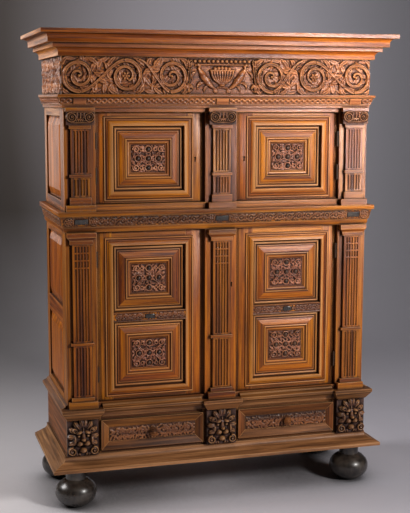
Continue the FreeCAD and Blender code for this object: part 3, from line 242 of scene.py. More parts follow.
def studio_paper(name):
    """Seamless paper, clear from behind; in front of the cabinet it throws little light back on the doors. A
    painted shadow darkens the floor under and near the cabinet, and painted light makes the floor palest in
    the middle and paler on the left than on the right, and the wall dark on the left and lighter on the right.
    """
    g = Graph(name)
    place = g.add("TexCoord").outputs["Object"]
    mottle = g.noise(place, (3, 3, 3), 3.0)
    axes = g.add("SeparateXYZ", {"Vector": place}).outputs
    across = g.span(axes[0], -2.5, 2.5)
    # Painted light: the floor is palest in the middle and paler on the left than on the right.
    floor = g.ramp(across, ((0.2, (222, 219, 217)), (0.46, (246, 243, 252)), (0.75, (200, 198, 209))))
    floor = g.mix(g.span(mottle, 0.3, 0.7, 0.0, 0.06), floor, (150, 147, 152))
    path = g.add("LightPath").outputs
    shown = g.times(path["Is Camera Ray"], 1.0, path["Is Glossy Ray"], True)
    shown = g.times(shown, 1.0, path["Is Transmission Ray"], True)
    bounced = g.times(g.span(shown, 1.0, 0.0), g.span(axes[1], -0.95, -1.3))
    floor = g.mix(bounced, floor, (30, 29, 30))
    # Painted shadow: the floor darkens to dark brown-grey where the cabinet shuts it in, under the base and
    # round the feet.
    floor = g.mix(g.nooks(0.45, 0.8, 0.3, 0.92, 8), floor, (36, 30, 28))
    # Painted light and shade: the wall is dark on the left and lighter on the right.
    wall = g.ramp(across, ((0.42, (66, 60, 56)), (0.95, (170, 169, 177))))
    colour = g.mix(g.span(axes[1], 0.6, 4.4), floor, wall)
    sheet = g.add("BsdfPrincipled", {"Base Color": colour, "Roughness": 0.75})
    clear = g.add("BsdfTransparent")
    rear = g.add("NewGeometry").outputs["Backfacing"]
    return g.finish(g.add("MixShader", {0: rear, 1: sheet.outputs[0], 2: clear.outputs[0]}))


MATERIALS = {
    "oak": oak("polished_oak", (208, 122, 20), (166, 87, 8), (92, 38, 3)),
    "carved": oak("carved_oak", (202, 126, 76), (160, 92, 52), (92, 44, 22), 0.26, 0.94),
    # A paler, pinker copy of the oak for the door fields, partly a painted highlight.
    "field_oak": oak("pale_pink_field_oak", (208, 138, 104), (164, 100, 74), (92, 48, 32), 0.24, 0.95),
    # A darker copy of the oak for the posts, pilasters, case frames, waist moulding and architrave.
    "post_oak": oak("darker_post_oak", (182, 106, 22), (142, 74, 9), (74, 30, 3)),
    # A darker, greyer copy of the oak for the lion masks.
    "lion_oak": oak("dark_grey_lion_oak", (118, 82, 67), (82, 53, 43), (40, 24, 18), 0.24, 0.96),
    "dusky_oak": oak("dusky_oak", (142, 84, 48), (106, 59, 32), (64, 31, 14), shade_and_dirt_share=0.95),
    "drawer_oak": oak("shaded_oak", (146, 86, 36), (106, 59, 20), (62, 30, 7), 0.6),
    "dusty_oak": oak("dusty_oak", (158, 104, 56), (114, 70, 32), (62, 33, 12), 0.42),
    "worn_oak": oak("worn_oak", (180, 126, 80), (142, 94, 55), (88, 52, 26), 0.42),
    "inside_oak": oak("bare_oak", (188, 148, 100), (160, 120, 78), (118, 82, 50), 0.7, 0.6),
    "dark_oak": oak("dark_turned_oak", (92, 62, 42), (66, 42, 28), (38, 24, 16), 0.3, coat=0.3),
    "black_wood": black_wood("black_polished_wood"),
    "iron": iron("forged_iron"),
}


# Pieces

def paint(mesh, name, kind, domain, values):
    layer = mesh.attributes.new(name, kind, domain)
    field = "vector" if kind == "FLOAT_VECTOR" else "value"
    layer.data.foreach_set(field, np.ascontiguousarray(values, np.float32).ravel())


def piece(name, points, faces, body, slot, look=None, grain=None, tone=None, eased_edge=None, cavity=None,
          smooth=SMOOTH_TO):
    """A new mesh in metres, with what its material reads, riding on a body."""
    mesh = bpy.data.meshes.new(name)
    mesh.from_pydata(np.asarray(points).tolist(), [], faces)
    paint(mesh, "grain", "FLOAT_VECTOR", "POINT", np.asarray(points) if grain is None else grain)
    for layer, values in (("tone", tone), ("cavity", cavity)):
        paint(mesh, layer, "FLOAT", "POINT", np.zeros(len(points)) if values is None else values)
    paint(mesh, "eased_edge", "FLOAT", "FACE", np.zeros(len(faces)) if eased_edge is None else eased_edge)
    mesh.polygons.foreach_set("use_smooth", np.ones(len(faces), bool))
    mesh.set_sharp_from_angle(angle=smooth)
    mesh.materials.append(MATERIALS[look or slot])
    made = bpy.data.objects.new(name, mesh)
    bpy.context.scene.collection.objects.link(made)
    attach(made, body)
    return made


def solids(mesh):
    """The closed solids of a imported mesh, one after another, each as a list of faces."""
    corners = np.round([tuple(v.co) for v in mesh.vertices], 6).tolist()
    unpaired = {}
    run = []
    for polygon in mesh.polygons:
        loop = [tuple(corners[i]) for i in polygon.vertices]
        run.append(loop)
        for a, b in zip(loop, loop[1:] + loop[:1]):
            if unpaired.get((b, a)):
                unpaired[b, a] -= 1
            else:
                unpaired[a, b] = unpaired.get((a, b), 0) + 1
        unpaired = {edge: left for edge, left in unpaired.items() if left}
        if not unpaired:
            yield run
            run = []


def board(run, ease):
    """One solid with its flat faces whole and its sharp edges eased."""
    shape = bmesh.new()
    corners = {}
    for loop in run:
        for key in loop:
            if key not in corners:
                corners[key] = shape.verts.new(key)
        if len(set(loop)) > 2:
            shape.faces.new([corners[key] for key in loop])
    eased = set()
    if ease:
        flat = math.radians(0.6)
        bmesh.ops.dissolve_limit(shape, angle_limit=flat, verts=shape.verts, edges=shape.edges)
        sharp = [e for e in shape.edges if len(e.link_faces) == 2 and e.calc_face_angle(0) > EASE_FROM]
        made = bmesh.ops.bevel(shape, geom=sharp, offset=ease * MM, offset_type="OFFSET", segments=2,
                               profile=0.5, affect="EDGES", clamp_overlap=True)
        eased = set(made["faces"])
    return shape, eased


def proud_field(place):
    """A side panel whose bevelled field comes nearly level with its frame."""
    sheet = (HALF - SIDE_RECESS) * MM
    out = np.abs(place[:, 0])
    stretched = np.where(out > sheet, sheet + FIELD_STRETCH * (out - sheet), out)
    return np.column_stack([np.sign(place[:, 0]) * stretched, place[:, 1:]])


class Boards:
    """Boards gathered for one piece, each with a grain and a tone of its own."""

    def __init__(self):
        self.points, self.faces, self.grain, self.tone, self.marks = [], [], [], [], []

    def lay(self, points, faces, along, marks):
        start = len(self.points)
        self.points += points.tolist()
        self.faces += [[start + i for i in loop] for loop in faces]
        self.grain += (along + draws.uniform(0, 40, 3)).tolist()
        self.tone += [draws.uniform(-1, 1)] * len(points)
        self.marks += marks


def dress(node, slot, ease, look, upright, keep):
    """A CAD node's own boards with eased edges, each with its grain along its length."""
    boards = Boards()
    fielded = node.endswith("side_panels")
    for run in solids(frame["nodes"][node].data):
        span = np.ptp([key for loop in run for key in loop], axis=0) / MM
        if keep and not keep(span):
            continue
        shape, eased = board(run, ease)
        shape.verts.index_update()
        place = np.array([tuple(v.co) for v in shape.verts])
        if fielded:
            place = proud_field(place)
        axes = np.array((2, 0, 1)) if upright else np.argsort(-span, kind="stable")
        loops = [[v.index for v in f.verts] for f in shape.faces]
        boards.lay(place, loops, place[:, axes], [float(f in eased) for f in shape.faces])
        shape.free()
    body = frame["nodes"][node]["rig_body"]
    made = piece(node + "_dressed", boards.points, boards.faces, body, slot, look, boards.grain, boards.tone,
                 boards.marks, None, SMOOTH_BOARD if fielded else SMOOTH_TO)
    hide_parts(node)


# Mouldings laid round the doors

def eased_profile(profile, radius=0.9):
    """A profile with each of its corners taken off by three short cuts."""
    profile = np.array(profile, float)
    line = [profile[0]]
    for before, here, after in zip(profile, profile[1:], profile[2:]):
        cuts = []
        for other in (before, after):
            length = np.linalg.norm(other - here)
            cuts.append(here + (other - here) / length * min(radius, 0.4 * length))
        line += [cuts[0], (cuts[0] + cuts[1] + 2 * here) / 4, cuts[1]]
    return [*line, profile[-1]]


def sunk(line, reach=5.0, depth=3.0):
    """How far each point of a profile lies below its neighbours: one in a quirk, minus one on a crest."""
    inset, out = np.array(line).T
    around = (np.interp(inset - reach, inset, out) + np.interp(inset + reach, inset, out)) / 2
    share = np.clip((around - out) / depth, -1, 1)
    share[[0, -1]] = 1
    return np.concatenate([share, (1, 1)])


def mitred_lengths(rect, face, profile, back):
    """Four mitred lengths of a moulding round a rectangle, as points, faces, grain and a share for each point
    that the oak paints as shade and soiling in quirks and as worn, highlighted crests.
    """
    x0, x1, z0, z1 = rect
    line = eased_profile(profile)
    section = line + [np.array((line[-1][0], -back)), np.array((line[0][0], -back))]
    count = len(section)
    for side in range(4):
        ends = []
        for corner in (side, (side + 1) % 4):
            for i, out in section:
                x = x1 - i if corner in (1, 2) else x0 + i
                z = z1 - i if corner < 2 else z0 + i
                ends.append((x, face - out, z))
        points = np.array(ends) * MM
        faces = [[k, (k + 1) % count, count + (k + 1) % count, count + k] for k in range(count)]
        faces += [list(range(count))[::-1], list(range(count, 2 * count))]
        axes = (0, 2, 1) if side % 2 == 0 else (2, 0, 1)
        yield points, faces, points[:, axes], np.tile(sunk(line), 2)


def laid_frames(name, frames, body, nodes):
    """Mitred frames as one piece, each length with its own grain."""
    boards = Boards()
    for rect, face, profile, back in frames:
        for place, loops, along, shade_and_dirt_share in mitred_lengths(rect, face, profile, back):
            boards.lay(place, loops, along, shade_and_dirt_share.tolist())
    made = piece(name, boards.points, boards.faces, body, "oak", None, boards.grain, boards.tone, None,
                 boards.marks)
    if nodes:
        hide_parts(*nodes)


def bolection(width):
    """Section of the moulding round a door's panels: a bead, a long slope and a steep drop inside."""
    crest = width - 4
    bead = ((0, 1.4), (1.2, 4.4), (3.2, 5.8), (5.6, 5.8), (8, 4.4), (9.2, 2.4), (10.2, 2.4), (11, 3.6))
    step = 0.45 * crest
    fillet = ((step, 5.4), (step + 1, 4.2), (step + 2.2, 4.2), (step + 3, 6.2))
    slope = fillet + ((crest - 1, 11.2), (crest + 1, 11.2))
    return bead + slope + ((width - 1.4, 9), (width - 0.6, 2), (width, -7.5))


def panel_ring(width):
    """Section inside it: a groove, a reed, a quirk, a slope up to a crest and steps down to the field."""
    crest = width - 25
    reed = ((0.5, 2.0), (4.5, 2.0), (5.2, 6.0), (7.5, 8.6), (11, 9.2), (14, 8.0), (15.4, 5.8))
    slope = ((16.2, 3.4), (20.5, 3.4), (21.3, 6.2), (26, 7.0), (26.8, 5.8), (28, 5.8), (28.8, 7.6),
             (crest - 8, 11.4), (crest - 7, 10.2), (crest - 5.8, 10.2), (crest - 5, 12.6), (crest - 2, 13.7),
             (crest, 14))
    steps = ((1.2, 12.4), (3.5, 9.0), (5.5, 8.0), (13.5, 7.6), (14.5, 6.0), (17.5, 3.6), (21, 2.7), (25, 2.5))
    return reed + slope + tuple((crest + i, out) for i, out in steps)


# Carving

def rounded(side):
    return np.sqrt(1 - side ** 2)


def hollowed(side):
    """A ribbon with raised rims, as a gouge leaves it."""
    return (0.38 + 0.62 * np.clip(side / 0.76, 0, 1) ** 2.5) * np.clip((1 - side) / 0.24, 0, 1) ** 0.6


def dished(side):
    """A ribbon a little lower between its rims than on them."""
    return (0.7 + 0.3 * np.clip(side / 0.7, 0, 1) ** 2) * np.clip((1 - side) / 0.3, 0, 1) ** 0.6


def veined(side):
    """A leaf with a groove down its middle and a soft edge."""
    return (0.58 + 0.42 * np.sin(np.pi * np.clip(side * 1.1, 0, 1))) * np.clip((1 - side) / 0.22, 0, 1) ** 0.5


def soften(field, times):
    for _ in range(times):
        wide = np.pad(field, 1, mode="edge")
        rows = (wide[:-2] + wide[1:-1] + wide[2:]) / 3
        field = (rows[:, :-2] + rows[:, 1:-1] + rows[:, 2:]) / 3
    return field


def unit(way):
    return way / np.linalg.norm(way)


def polar(centre, reach, turn):
    """The point, or points, at a distance from a centre and a turn in radians."""
    return np.stack([centre[0] + reach * np.cos(turn), centre[1] + reach * np.sin(turn)], -1)


def circle(centre, radius):
    return polar(centre, radius, np.linspace(0, 2 * np.pi, 36))


def spiral(centre, start, turns, outer, inner, count=70):
    """Points that wind in from the outer radius, counter-clockwise for turns above nought."""
    along = np.linspace(0, 1, count)
    radius = outer + (inner - outer) * along ** 1.35
    return polar(centre, radius, np.radians(start) + 2 * np.pi * turns * along)


def wave(first, last):
    """An S from one point to another, level at both ends."""
    along = np.linspace(0, 1, 26)
    rise = along * along * (3 - 2 * along)
    return np.stack([first[0] + (last[0] - first[0]) * along, first[1] + (last[1] - first[1]) * rise], 1)


class Relief:
    """A carved face: heights in millimetres over a grid, u across and v up from its middle."""

    def __init__(self, width, height, pitch):
        self.u = np.linspace(-width / 2, width / 2, round(width / pitch) + 1)
        self.v = np.linspace(-height / 2, height / 2, round(height / pitch) + 1)
        self.across, self.up = np.meshgrid(self.u, self.v)
        self.h = np.zeros_like(self.across)

    def trace(self, points, half, rise, section):
        """Heights of one stroke along a line, its half width and rise given all along it."""
        points = np.asarray(points, float)
        half = np.broadcast_to(np.asarray(half, float), len(points))
        rise = np.broadcast_to(np.asarray(rise, float), len(points))
        nearest = np.ones_like(self.h)
        top = np.zeros_like(self.h)
        for k in range(len(points) - 1):
            a, b = points[k], points[k + 1]
            step, reach = b - a, max(half[k], half[k + 1])
            low, high = np.minimum(a, b) - reach, np.maximum(a, b) + reach
            columns = slice(*np.searchsorted(self.u, (low[0], high[0])))
            box = slice(*np.searchsorted(self.v, (low[1], high[1]))), columns
            du, dv = self.across[box] - a[0], self.up[box] - a[1]
            share = np.clip((du * step[0] + dv * step[1]) / max(step @ step, 1e-9), 0, 1)
            away = np.hypot(du - share * step[0], dv - share * step[1])
            width = np.maximum(half[k] + (half[k + 1] - half[k]) * share, 1e-6)
            side = np.clip(away / width, 0, 1)
            nearer = side < nearest[box]
            local = rise[k] + (rise[k + 1] - rise[k]) * share
            top[box] = np.where(nearer, local, top[box])
            nearest[box] = np.where(nearer, side, nearest[box])
        return top * section(nearest)

    def stem(self, points, half, rise, section=rounded, over=False):
        """A stroke that joins what is there, or lies over it and hides it."""
        lift = self.trace(points, half, rise, section)
        self.h = np.where(lift > 0, lift, self.h) if over else np.maximum(self.h, lift)

    def level(self, reach, v, half, rise):
        """A straight bead across the face, as far to the left as to the right."""
        self.stem([(-reach, v), (reach, v)], half, rise)

    def ridge(self, points, half, rise):
        self.h = self.h + self.trace(points, half, rise, rounded)

    def cut(self, points, half, depth):
        self.h = self.h - self.trace(points, half, depth, rounded)

    def leaf(self, base, tip, bend, half, rise, lobes=3):
        """A lobed leaf from base to tip, bowed to its left by a share of its length."""
        base, along = np.array(base, float), np.subtract(tip, base).astype(float)
        t = np.linspace(0, 1, 26)
        bow = bend * 4 * t * (1 - t)
        points = base + along * t[:, None] + np.array([-along[1], along[0]]) * bow[:, None]
        outline = np.sin(np.pi * np.clip(t, 0.05, 0.96) ** 0.75)
        notches = 0.7 + 0.3 * np.abs(np.cos(lobes * np.pi * t))
        self.stem(points, half * outline * notches, rise * (0.6 + 0.4 * np.sin(np.pi * t)), veined)

    def fan(self, base, angle, spread, length, half, rise):
        """Three leaves that open from one point."""
        for share in (-0.5, 0.0, 0.5):
            reach = length * (1 - 0.35 * abs(share))
            tip = polar(base, reach, math.radians(angle + spread * share))
            self.leaf(base, tip, 0.25 * share, half, rise)

    def oval(self, centre, radii, turn=0.0):
        """One at a centre, falling to nought at an ellipse."""
        du, dv = self.across - centre[0], self.up - centre[1]
        c, s = math.cos(turn), math.sin(turn)
        return np.clip(1 - ((du * c + dv * s) / radii[0]) ** 2 - ((dv * c - du * s) / radii[1]) ** 2, 0, 1)

    def dome(self, centre, radii, rise, turn=0.0):
        self.h = np.maximum(self.h, rise * np.sqrt(self.oval(centre, radii, turn)))

    def swell(self, centre, radii, rise):
        self.h = self.h + rise * self.oval(centre, radii) ** 0.8

    def rosette(self, centre, radius, rise, petals=6):
        for k in range(petals):
            turn = 2 * math.pi * k / petals
            self.dome(polar(centre, 0.6 * radius, turn), (0.42 * radius, 0.3 * radius), rise * 0.8, turn)
        self.dome(centre, (0.3 * radius, 0.3 * radius), rise)

    def mirror(self):
        self.h = np.maximum(self.h, self.h[:, ::-1])

    def scroll(self, centre, start, turns, radius, half, rise, flower=True, section=hollowed, leaves=0.85):
        """A ribbon that winds in to a flower or to its own end, with leaves on both of its sides."""
        line = spiral(centre, start, turns, radius - half, (0.3 if flower else 0.12) * radius)
        taper = np.linspace(1.0, 0.55, len(line))
        way = math.copysign(1, turns)
        for share, reach, lean in ((0.10, 0.34, 0.9), (0.26, 0.36, 0.8), (0.42, 0.30, 0.8)):
            k = int(share * len(line))
            inward = unit(np.array(centre) - line[k])
            ahead = unit(line[k + 1] - line[k])
            tip = line[k] + (inward * 0.75 + ahead * lean) * radius * reach
            self.leaf(line[k], tip, -0.28 * way, 1.6 * half, rise * leaves, 2)
            tip = line[k] + (inward * -0.55 + ahead) * radius * reach
            self.leaf(line[k], tip, 0.25 * way, 1.35 * half, rise * leaves, 2)
        self.stem(line, half * taper, rise * (0.8 + 0.2 * taper), section, True)
        if flower:
            self.rosette(centre, 0.26 * radius, rise * 0.95, 6)
        else:
            self.dome(centre, (0.1 * radius, 0.1 * radius), rise)

    def foliage(self, centres, first, spacing, length, half, rise):
        """Low leaves all over the ground, each turned round the nearest scroll."""
        for u in np.arange(first + spacing / 2, self.u[-1], spacing):
            for v in np.arange(self.v[0] + spacing / 2, self.v[-1], spacing):
                place = np.array((u, v)) + draws.uniform(-0.25, 0.25, 2) * spacing
                away = min((place - c for c in np.array(centres)), key=lambda way: way @ way)
                turn = math.atan2(away[1], away[0]) + draws.choice((-1, 1)) * draws.uniform(0.4, 1.2)
                bend = draws.uniform(-0.25, 0.25)
                reach = np.array((math.cos(turn), math.sin(turn))) * length / 2
                self.leaf(place - reach, place + reach, bend, half, rise, 2)

    def worked(self, grit):
        """Marks of the tool over the ground and the carving."""
        marks = soften(draws.normal(size=self.h.shape), 2)
        self.h = soften(self.h, 1) + grit * marks / marks.std()
        return self

    def solid(self, origin, across, up, back):
        """Points and faces of the carving as a closed slab, in metres."""
        across, up = np.array(across, float), np.array(up, float)
        out = np.cross(across, up)
        rows, columns = self.h.shape
        middle = np.array(origin, float)
        flat = middle + self.across[..., None] * across + self.up[..., None] * up
        top = flat + self.h[..., None] * out
        index = np.arange(rows * columns).reshape(rows, columns)
        quads = np.stack([index[:-1, :-1], index[:-1, 1:], index[1:, 1:], index[1:, :-1]], -1).reshape(-1, 4)
        rim = np.concatenate([index[0, :-1], index[:-1, -1], index[-1, :0:-1], index[:0:-1, 0]])
        below = flat.reshape(-1, 3)[rim] - back * out
        low = rows * columns + np.arange(len(rim))
        walls = np.stack([low, np.roll(low, -1), np.roll(rim, -1), rim], 1)
        points = np.concatenate([top.reshape(-1, 3), below]) * MM
        return points, quads.tolist() + walls.tolist() + [low[::-1].tolist()]


def carve(name, face, origin, across=(1, 0, 0), up=(0, 0, 1), body=CASE, back=2.0, upright=False,
          deep=4.0, look="carved"):
    """Sets a carved face on the object, as a piece of its own, with painted shade and soiling that darken it
    fully where it is sunk by deep or more and partly on its low ground.
    """
    points, faces = face.solid(origin, across, up, back)
    # The cavity value is painted as shade and soiling where the carving is sunk and on its low ground, and as
    # worn, highlighted crests where it is negative.
    spread = soften(face.h, 14)
    ground = np.clip(1 - face.h / (0.3 * face.h.max()), 0, 1)
    hollow = np.clip((spread - face.h) / deep + 0.35 * ground, -1, 1)
    rim = len(points) - face.h.size
    cavity = np.concatenate([hollow.ravel(), np.zeros(rim)])
    flat = np.stack([face.across, face.up, face.h], -1).reshape(-1, 3) * MM
    flat = np.concatenate([flat, np.zeros((rim, 3))])
    if upright:
        flat = flat[:, (1, 0, 2)]
    grain = flat + draws.uniform(0, 40, 3)
    tone = np.full(len(points), draws.uniform(-0.5, 0.5))
    return piece(name, points, faces, body, "oak", look, grain, tone, None, cavity, SMOOTH_CARVING)


def small_scrolls(face, first, last, count, radius, half, rise):
    """A running band of scrolls that wind up and down by turns."""
    places = np.linspace(first, last, count)
    gap = places[1] - places[0]
    for k, u in enumerate(places):
        way = 1 if k % 2 else -1
        face.scroll((u, 0), -90 * way, 1.35 * way, radius, half, rise)
        if k + 1 < count:
            link = wave((u, -way * (radius - half)), (places[k + 1], way * (radius - half)))
            face.stem(link, half, rise * 0.85, hollowed, True)
            for end in (1, -1):
                base = (u + (0.5 - 0.1 * end) * gap, 0.35 * end * way * radius)
                face.fan(base, 90 * end * way + 25, 70, 0.75 * radius, half, 0.7 * rise)


def corner_leaves(face, centre, radius, rise):
    """A leaf in each corner outside a scroll, bowed round it."""
    for k in range(4):
        turn = math.radians(45 + 90 * k)
        base = polar(centre, 1.12 * radius, turn - 0.36)
        face.leaf(base, polar(centre, 1.2 * radius, turn + 0.36), -0.12, 14, 0.55 * rise, 3)


def leafy_stem(face, line, half, rise):
    """A ribbon with curled leaves that spring from it on both sides by turns."""
    for k, share in enumerate((0.28, 0.42, 0.58, 0.72)):
        place = int(share * len(line))
        root, side = line[place], 1 if k % 2 else -1
        ahead = unit(line[place + 1] - root)
        beside = np.array((-ahead[1], ahead[0])) * side
        face.leaf(root, root + (0.8 * ahead + 0.75 * beside) * 58, -0.25 * side, 17, 0.62 * rise)
        face.leaf(root, root + (0.9 * beside - 0.35 * ahead) * 44, 0.2 * side, 14, 0.56 * rise, 2)
    face.stem(line, half, 0.95 * rise, dished, True)


def frieze_front():
    """Three scrolls on each side of a fluted vase between two birds, under a row of beads."""
    face = Relief(FRIEZE_LENGTH, FRIEZE_HEIGHT, 1.4)
    radius, half, rise, drop = 80, 10.0, 15.5, 2
    outer, middle, inner = ((u, -drop) for u in (667, 453, 241))
    face.foliage((outer, middle, inner), 146, 36, 60, 14, 4.5)
    top, foot = radius - half - drop, half - radius - drop
    for centre in (outer, middle, inner):
        corner_leaves(face, centre, radius, rise)
    out_link = wave((middle[0], top), (outer[0], foot)), (1.0, 0.55, 1.0)
    in_link = wave((392, top + 3), (inner[0], foot)), (0.4, 0.7, 1.0)
    for line, widths in (out_link, in_link):
        along = np.linspace(0, 2, len(line))
        leafy_stem(face, line, half * np.interp(along, (0, 1, 2), widths), rise)
    for centre, start, turns in ((outer, -90, 1.7), (middle, 90, 1.4), (inner, -90, -1.7)):
        face.scroll(centre, start, turns, radius, half, rise, centre is middle, dished, 0.6)
    face.fan((163, -40), -95, 90, 40, 9, rise * 0.8)
    face.fan((165, 44), 95, 80, 36, 9, rise * 0.8)
    face.stem(wave((150, 66), (164, -30)), 7.5, rise, hollowed)
    bird(face)
    face.mirror()
    vase(face)
    return face.worked(0.16)


def bird(face):
    """A bird that stands beside the vase, its tail to the foot and its head turned to the scrolls."""
    body = [(104, 22), (92, 2), (74, -22), (52, -46), (30, -62)]
    face.stem(body, (11, 17, 16, 10, 4), (8, 12, 12, 9, 6))
    neck = [(104, 20), (112, 34), (108, 46), (116, 52)]
    face.stem(neck, (10, 7.5, 7, 8), (10, 10, 10, 11))
    face.stem([(118, 51), (132, 44)], (4.5, 1.5), (9, 6))
    for k in range(4):
        start = (99 - 5 * k, 12 - 7 * k)
        face.leaf(start, (start[0] - 44 + 3 * k, start[1] - 26 - 5 * k), 0.12, 6.5, 14 - k, 1)
    face.leaf((88, -30), (118, -62), 0.3, 9, 8)
    face.leaf((70, -44), (86, -74), 0.2, 8, 7)
    face.leaf((126, 20), (140, -20), 0.3, 8, 8)


def vase(face):
    """A fluted bowl on a foot, heaped with fruit, between its two handles."""
    for u in np.arange(-130, 131, 21.6):
        face.dome((u, 68), (9.2, 8.2), 9.5)
    face.level(128, 52, 4.5, 5.5)
    for k in range(9):
        share = (k - 4) / 4
        line = [(share * 52, 22), (share * 49, 4), (share * 38, -16), (share * 16, -34)]
        face.stem(line, (7.0, 6.6, 5.2, 2.6), (11, 12, 11, 8))
    face.level(57, 26, 4.5, 12)
    for k in range(5):
        face.dome(((k - 2) * 17, 37 - 2 * abs(k - 2)), (9.5, 10.5), 10)
    face.dome((0, -40), (15, 7), 11)
    face.stem([(-22, -54), (0, -48), (22, -54)], 5, 8, hollowed)
    for side in (-1, 1):
        face.scroll((side * 30, -66), 90, -1.3 * side, 12, 3.2, 8)
        face.stem(wave((side * 58, 28), (side * 40, -8)), 3.5, 8)


def frieze_side():
    face = Relief(BACK - FRONT - 7, FRIEZE_HEIGHT, 2.4)
    reach = 190
    face.foliage(((-reach, 0), (0, 0), (reach, 0)), face.u[0], 27, 50, 11.5, 6.5)
    small_scrolls(face, -reach, reach, 3, 78, 10, 13)
    return face.worked(0.16)


def architrave_band(length, blocks):
    """Two ribbons that cross along the band, with a bead in each eye and plain blocks between."""
    face = Relief(length, 30, 1.5)
    pitch = 27.0
    u = np.arange(-length / 2, length / 2, 2.0)
    for shift in (0, math.pi):
        face.stem(np.stack([u, 8.2 * np.sin(np.pi * u / pitch + shift)], 1), 3.1, 4.4, hollowed)
    for place in np.arange(-length / 2 + pitch / 2, length / 2, pitch):
        face.dome((place, 0), (4.2, 4.2), 4.2)
        crossing = place - pitch / 2
        for edge in (-1, 1):
            face.leaf((crossing, edge * 11), (crossing + 1, edge * 3), 0.0, 4, 3.2, 1)
    for middle in blocks:
        away = np.abs(face.across - middle)
        face.h = np.where(away < 30, 4.6, np.where(away < 34, 0, face.h))
    for edge in (-1, 1):
        face.level(length / 2, edge * 14, 1.8, 3.2)
    return face.worked(0.08)


def waist_band(length, tablets):
    """A running scroll with a plain place for each black tablet, and a rosette at its ends."""
    face = Relief(length, 46, 1.6)
    room, pitch = 92, 47
    stops = [-length / 2 - 60, *tablets, length / 2 + 60]
    for first, last in zip(stops, stops[1:]):
        start, end = first + room, last - room
        count = max(2, round((end - start) / pitch) + 1)
        if end - start > 60:
            small_scrolls(face, start, end, count, 19.5, 3.0, 6.4)
    for middle in tablets:
        for side in (-1, 1):
            flower, bar = (middle + side * 58, 0), middle + side * 36
            face.rosette(flower, 17, 6, 7)
            face.stem(circle(flower, 18.5), 2.2, 4.5)
            face.stem([(bar, -14), (bar, 14)], 2.4, 4)
    return face.worked(0.1)


def field_seats(height):
    """Where the five bosses sit on a door's carved field."""
    reach = height / 2 - 19
    return ((0, 0), (48, 0), (-48, 0), (0, reach), (0, -reach))


def door_field(wide, height):
    """Five ringed seats in a cross, curled leaves in each corner and petals round the middle."""
    face = Relief(wide - 1, height - 1, 1.2)
    face.foliage(((0, 0),), face.u[0], 16, 25, 5.5, 4.6)
    for side in (-1, 1):
        for end in (-1, 1):
            corner_curl(face, side, end, height)
    for k in range(8):
        turn = math.pi * (2 * k + 1) / 8
        face.leaf(polar((0, 0), 15, turn), polar((0, 0), 32, turn) * (1, 0.9), 0.0, 6.5, 7, 1)
    for seat in field_seats(height):
        face.stem(circle(seat, 15.2), 3.4, 6.5, rounded, True)
        face.stem(circle(seat, 11.2), 1.4, 3.5)
    return face.worked(0.14)


def corner_curl(face, side, end, height):
    """Leaves that curl away from one corner of a door field towards the middle."""
    edge, way = height / 2, side * end
    u, v = side * 59, end * (edge - 20)
    face.leaf((u - side * 4, v - end * 8), (side * 22, end * 13), 0.16 * way, 9, 8)
    face.leaf((side * 75, end * (edge - 38)), (side * 68, end * 8), -0.2 * way, 7, 6.5, 2)
    face.leaf((side * 40, end * (edge - 6)), (side * 20, end * (edge - 10)), 0.15 * way, 6, 6.5, 2)
    face.leaf((side * 75, end * (edge - 5)), (side * 46, end * (edge - 6)), 0.1 * way, 5.5, 6.5, 2)
    face.stem(spiral((u, v), 90 - 90 * side, 1.3 * way, 15, 4), 4.2, 8.5)
    face.dome((u, v), (5, 5), 8)
    face.stem(spiral((side * 32, v), 90 + 90 * side, -1.15 * way, 10, 3), 3.4, 7.5)


def door_band():
    face = Relief(350, 42, 1.5)
    for side in (-1, 1):
        small_scrolls(face, side * 50, side * 152, 4, 15.5, 2.7, 5)
        face.leaf((side * 34, 0), (side * 24, 0), 0.0, 9, 4, 1)
    for edge in (-1, 1):
        face.level(175, edge * 19.5, 1.7, 3.4)
    return face.worked(0.1)


def drawer_band():
    face = Relief(416, 66, 1.6)
    face.foliage(((-112, 0), (112, 0)), face.u[0], 15, 23, 5.0, 4.2)
    for side in (-1, 1):
        small_scrolls(face, side * 52, side * 172, 3, 27, 4.2, 7.5)
        face.fan((side * 192, 0), 90 - 90 * side, 120, 18, 6, 6)
        face.fan((side * 20, 0), 90, 110, 26, 6, 6)
        face.fan((side * 20, 0), -90, 110, 26, 6, 6)
    return face.worked(0.12)


def lion():
    """A lion's mask in its mane: heavy brows, eyes, cheeks, jowls, broad nose, open mouth and round chin."""
    face = Relief(145, 174, 1.5)
    face.swell((0, 2), (60, 74), 15)
    mane(face)
    for side in (-1, 1):
        face.dome((side * 20, 30), (18, 11), 33, -0.3 * side)
        face.swell((side * 22, 12), (9, 7), 7)
        face.cut(circle((side * 22, 12), 10), 2.6, 6)
        face.dome((side * 39, -6), (13, 24), 28)
        face.dome((side * 17, -22), (17, 15), 36)
        face.cut([(side * 33, 14), (side * 33, -16), (side * 38, -38)], 2.6, 6)
        for k in range(3):
            face.cut([(side * 10, -20 - 4 * k), (side * 30, -16 - 7 * k)], 1.2, 1.8)
        face.cut([(side * 6, 62), (side * 5, 36)], 2.2, 5)
    face.ridge([(0, 44), (0, 20), (0, 2)], (6, 8, 11), (6, 10, 12))
    face.dome((0, -4), (14, 12), 40)
    for side in (-1, 1):
        face.cut([(side * 8, -9), (side * 11, -6)], 2.8, 7)
    face.cut([(0, -12), (0, -32)], 2.0, 8)
    face.cut([(-28, -40), (-10, -38), (10, -38), (28, -40)], (4, 6, 6, 4), (9, 17, 17, 9))
    face.dome((0, -56), (18, 14), 32)
    return face.worked(0.2)


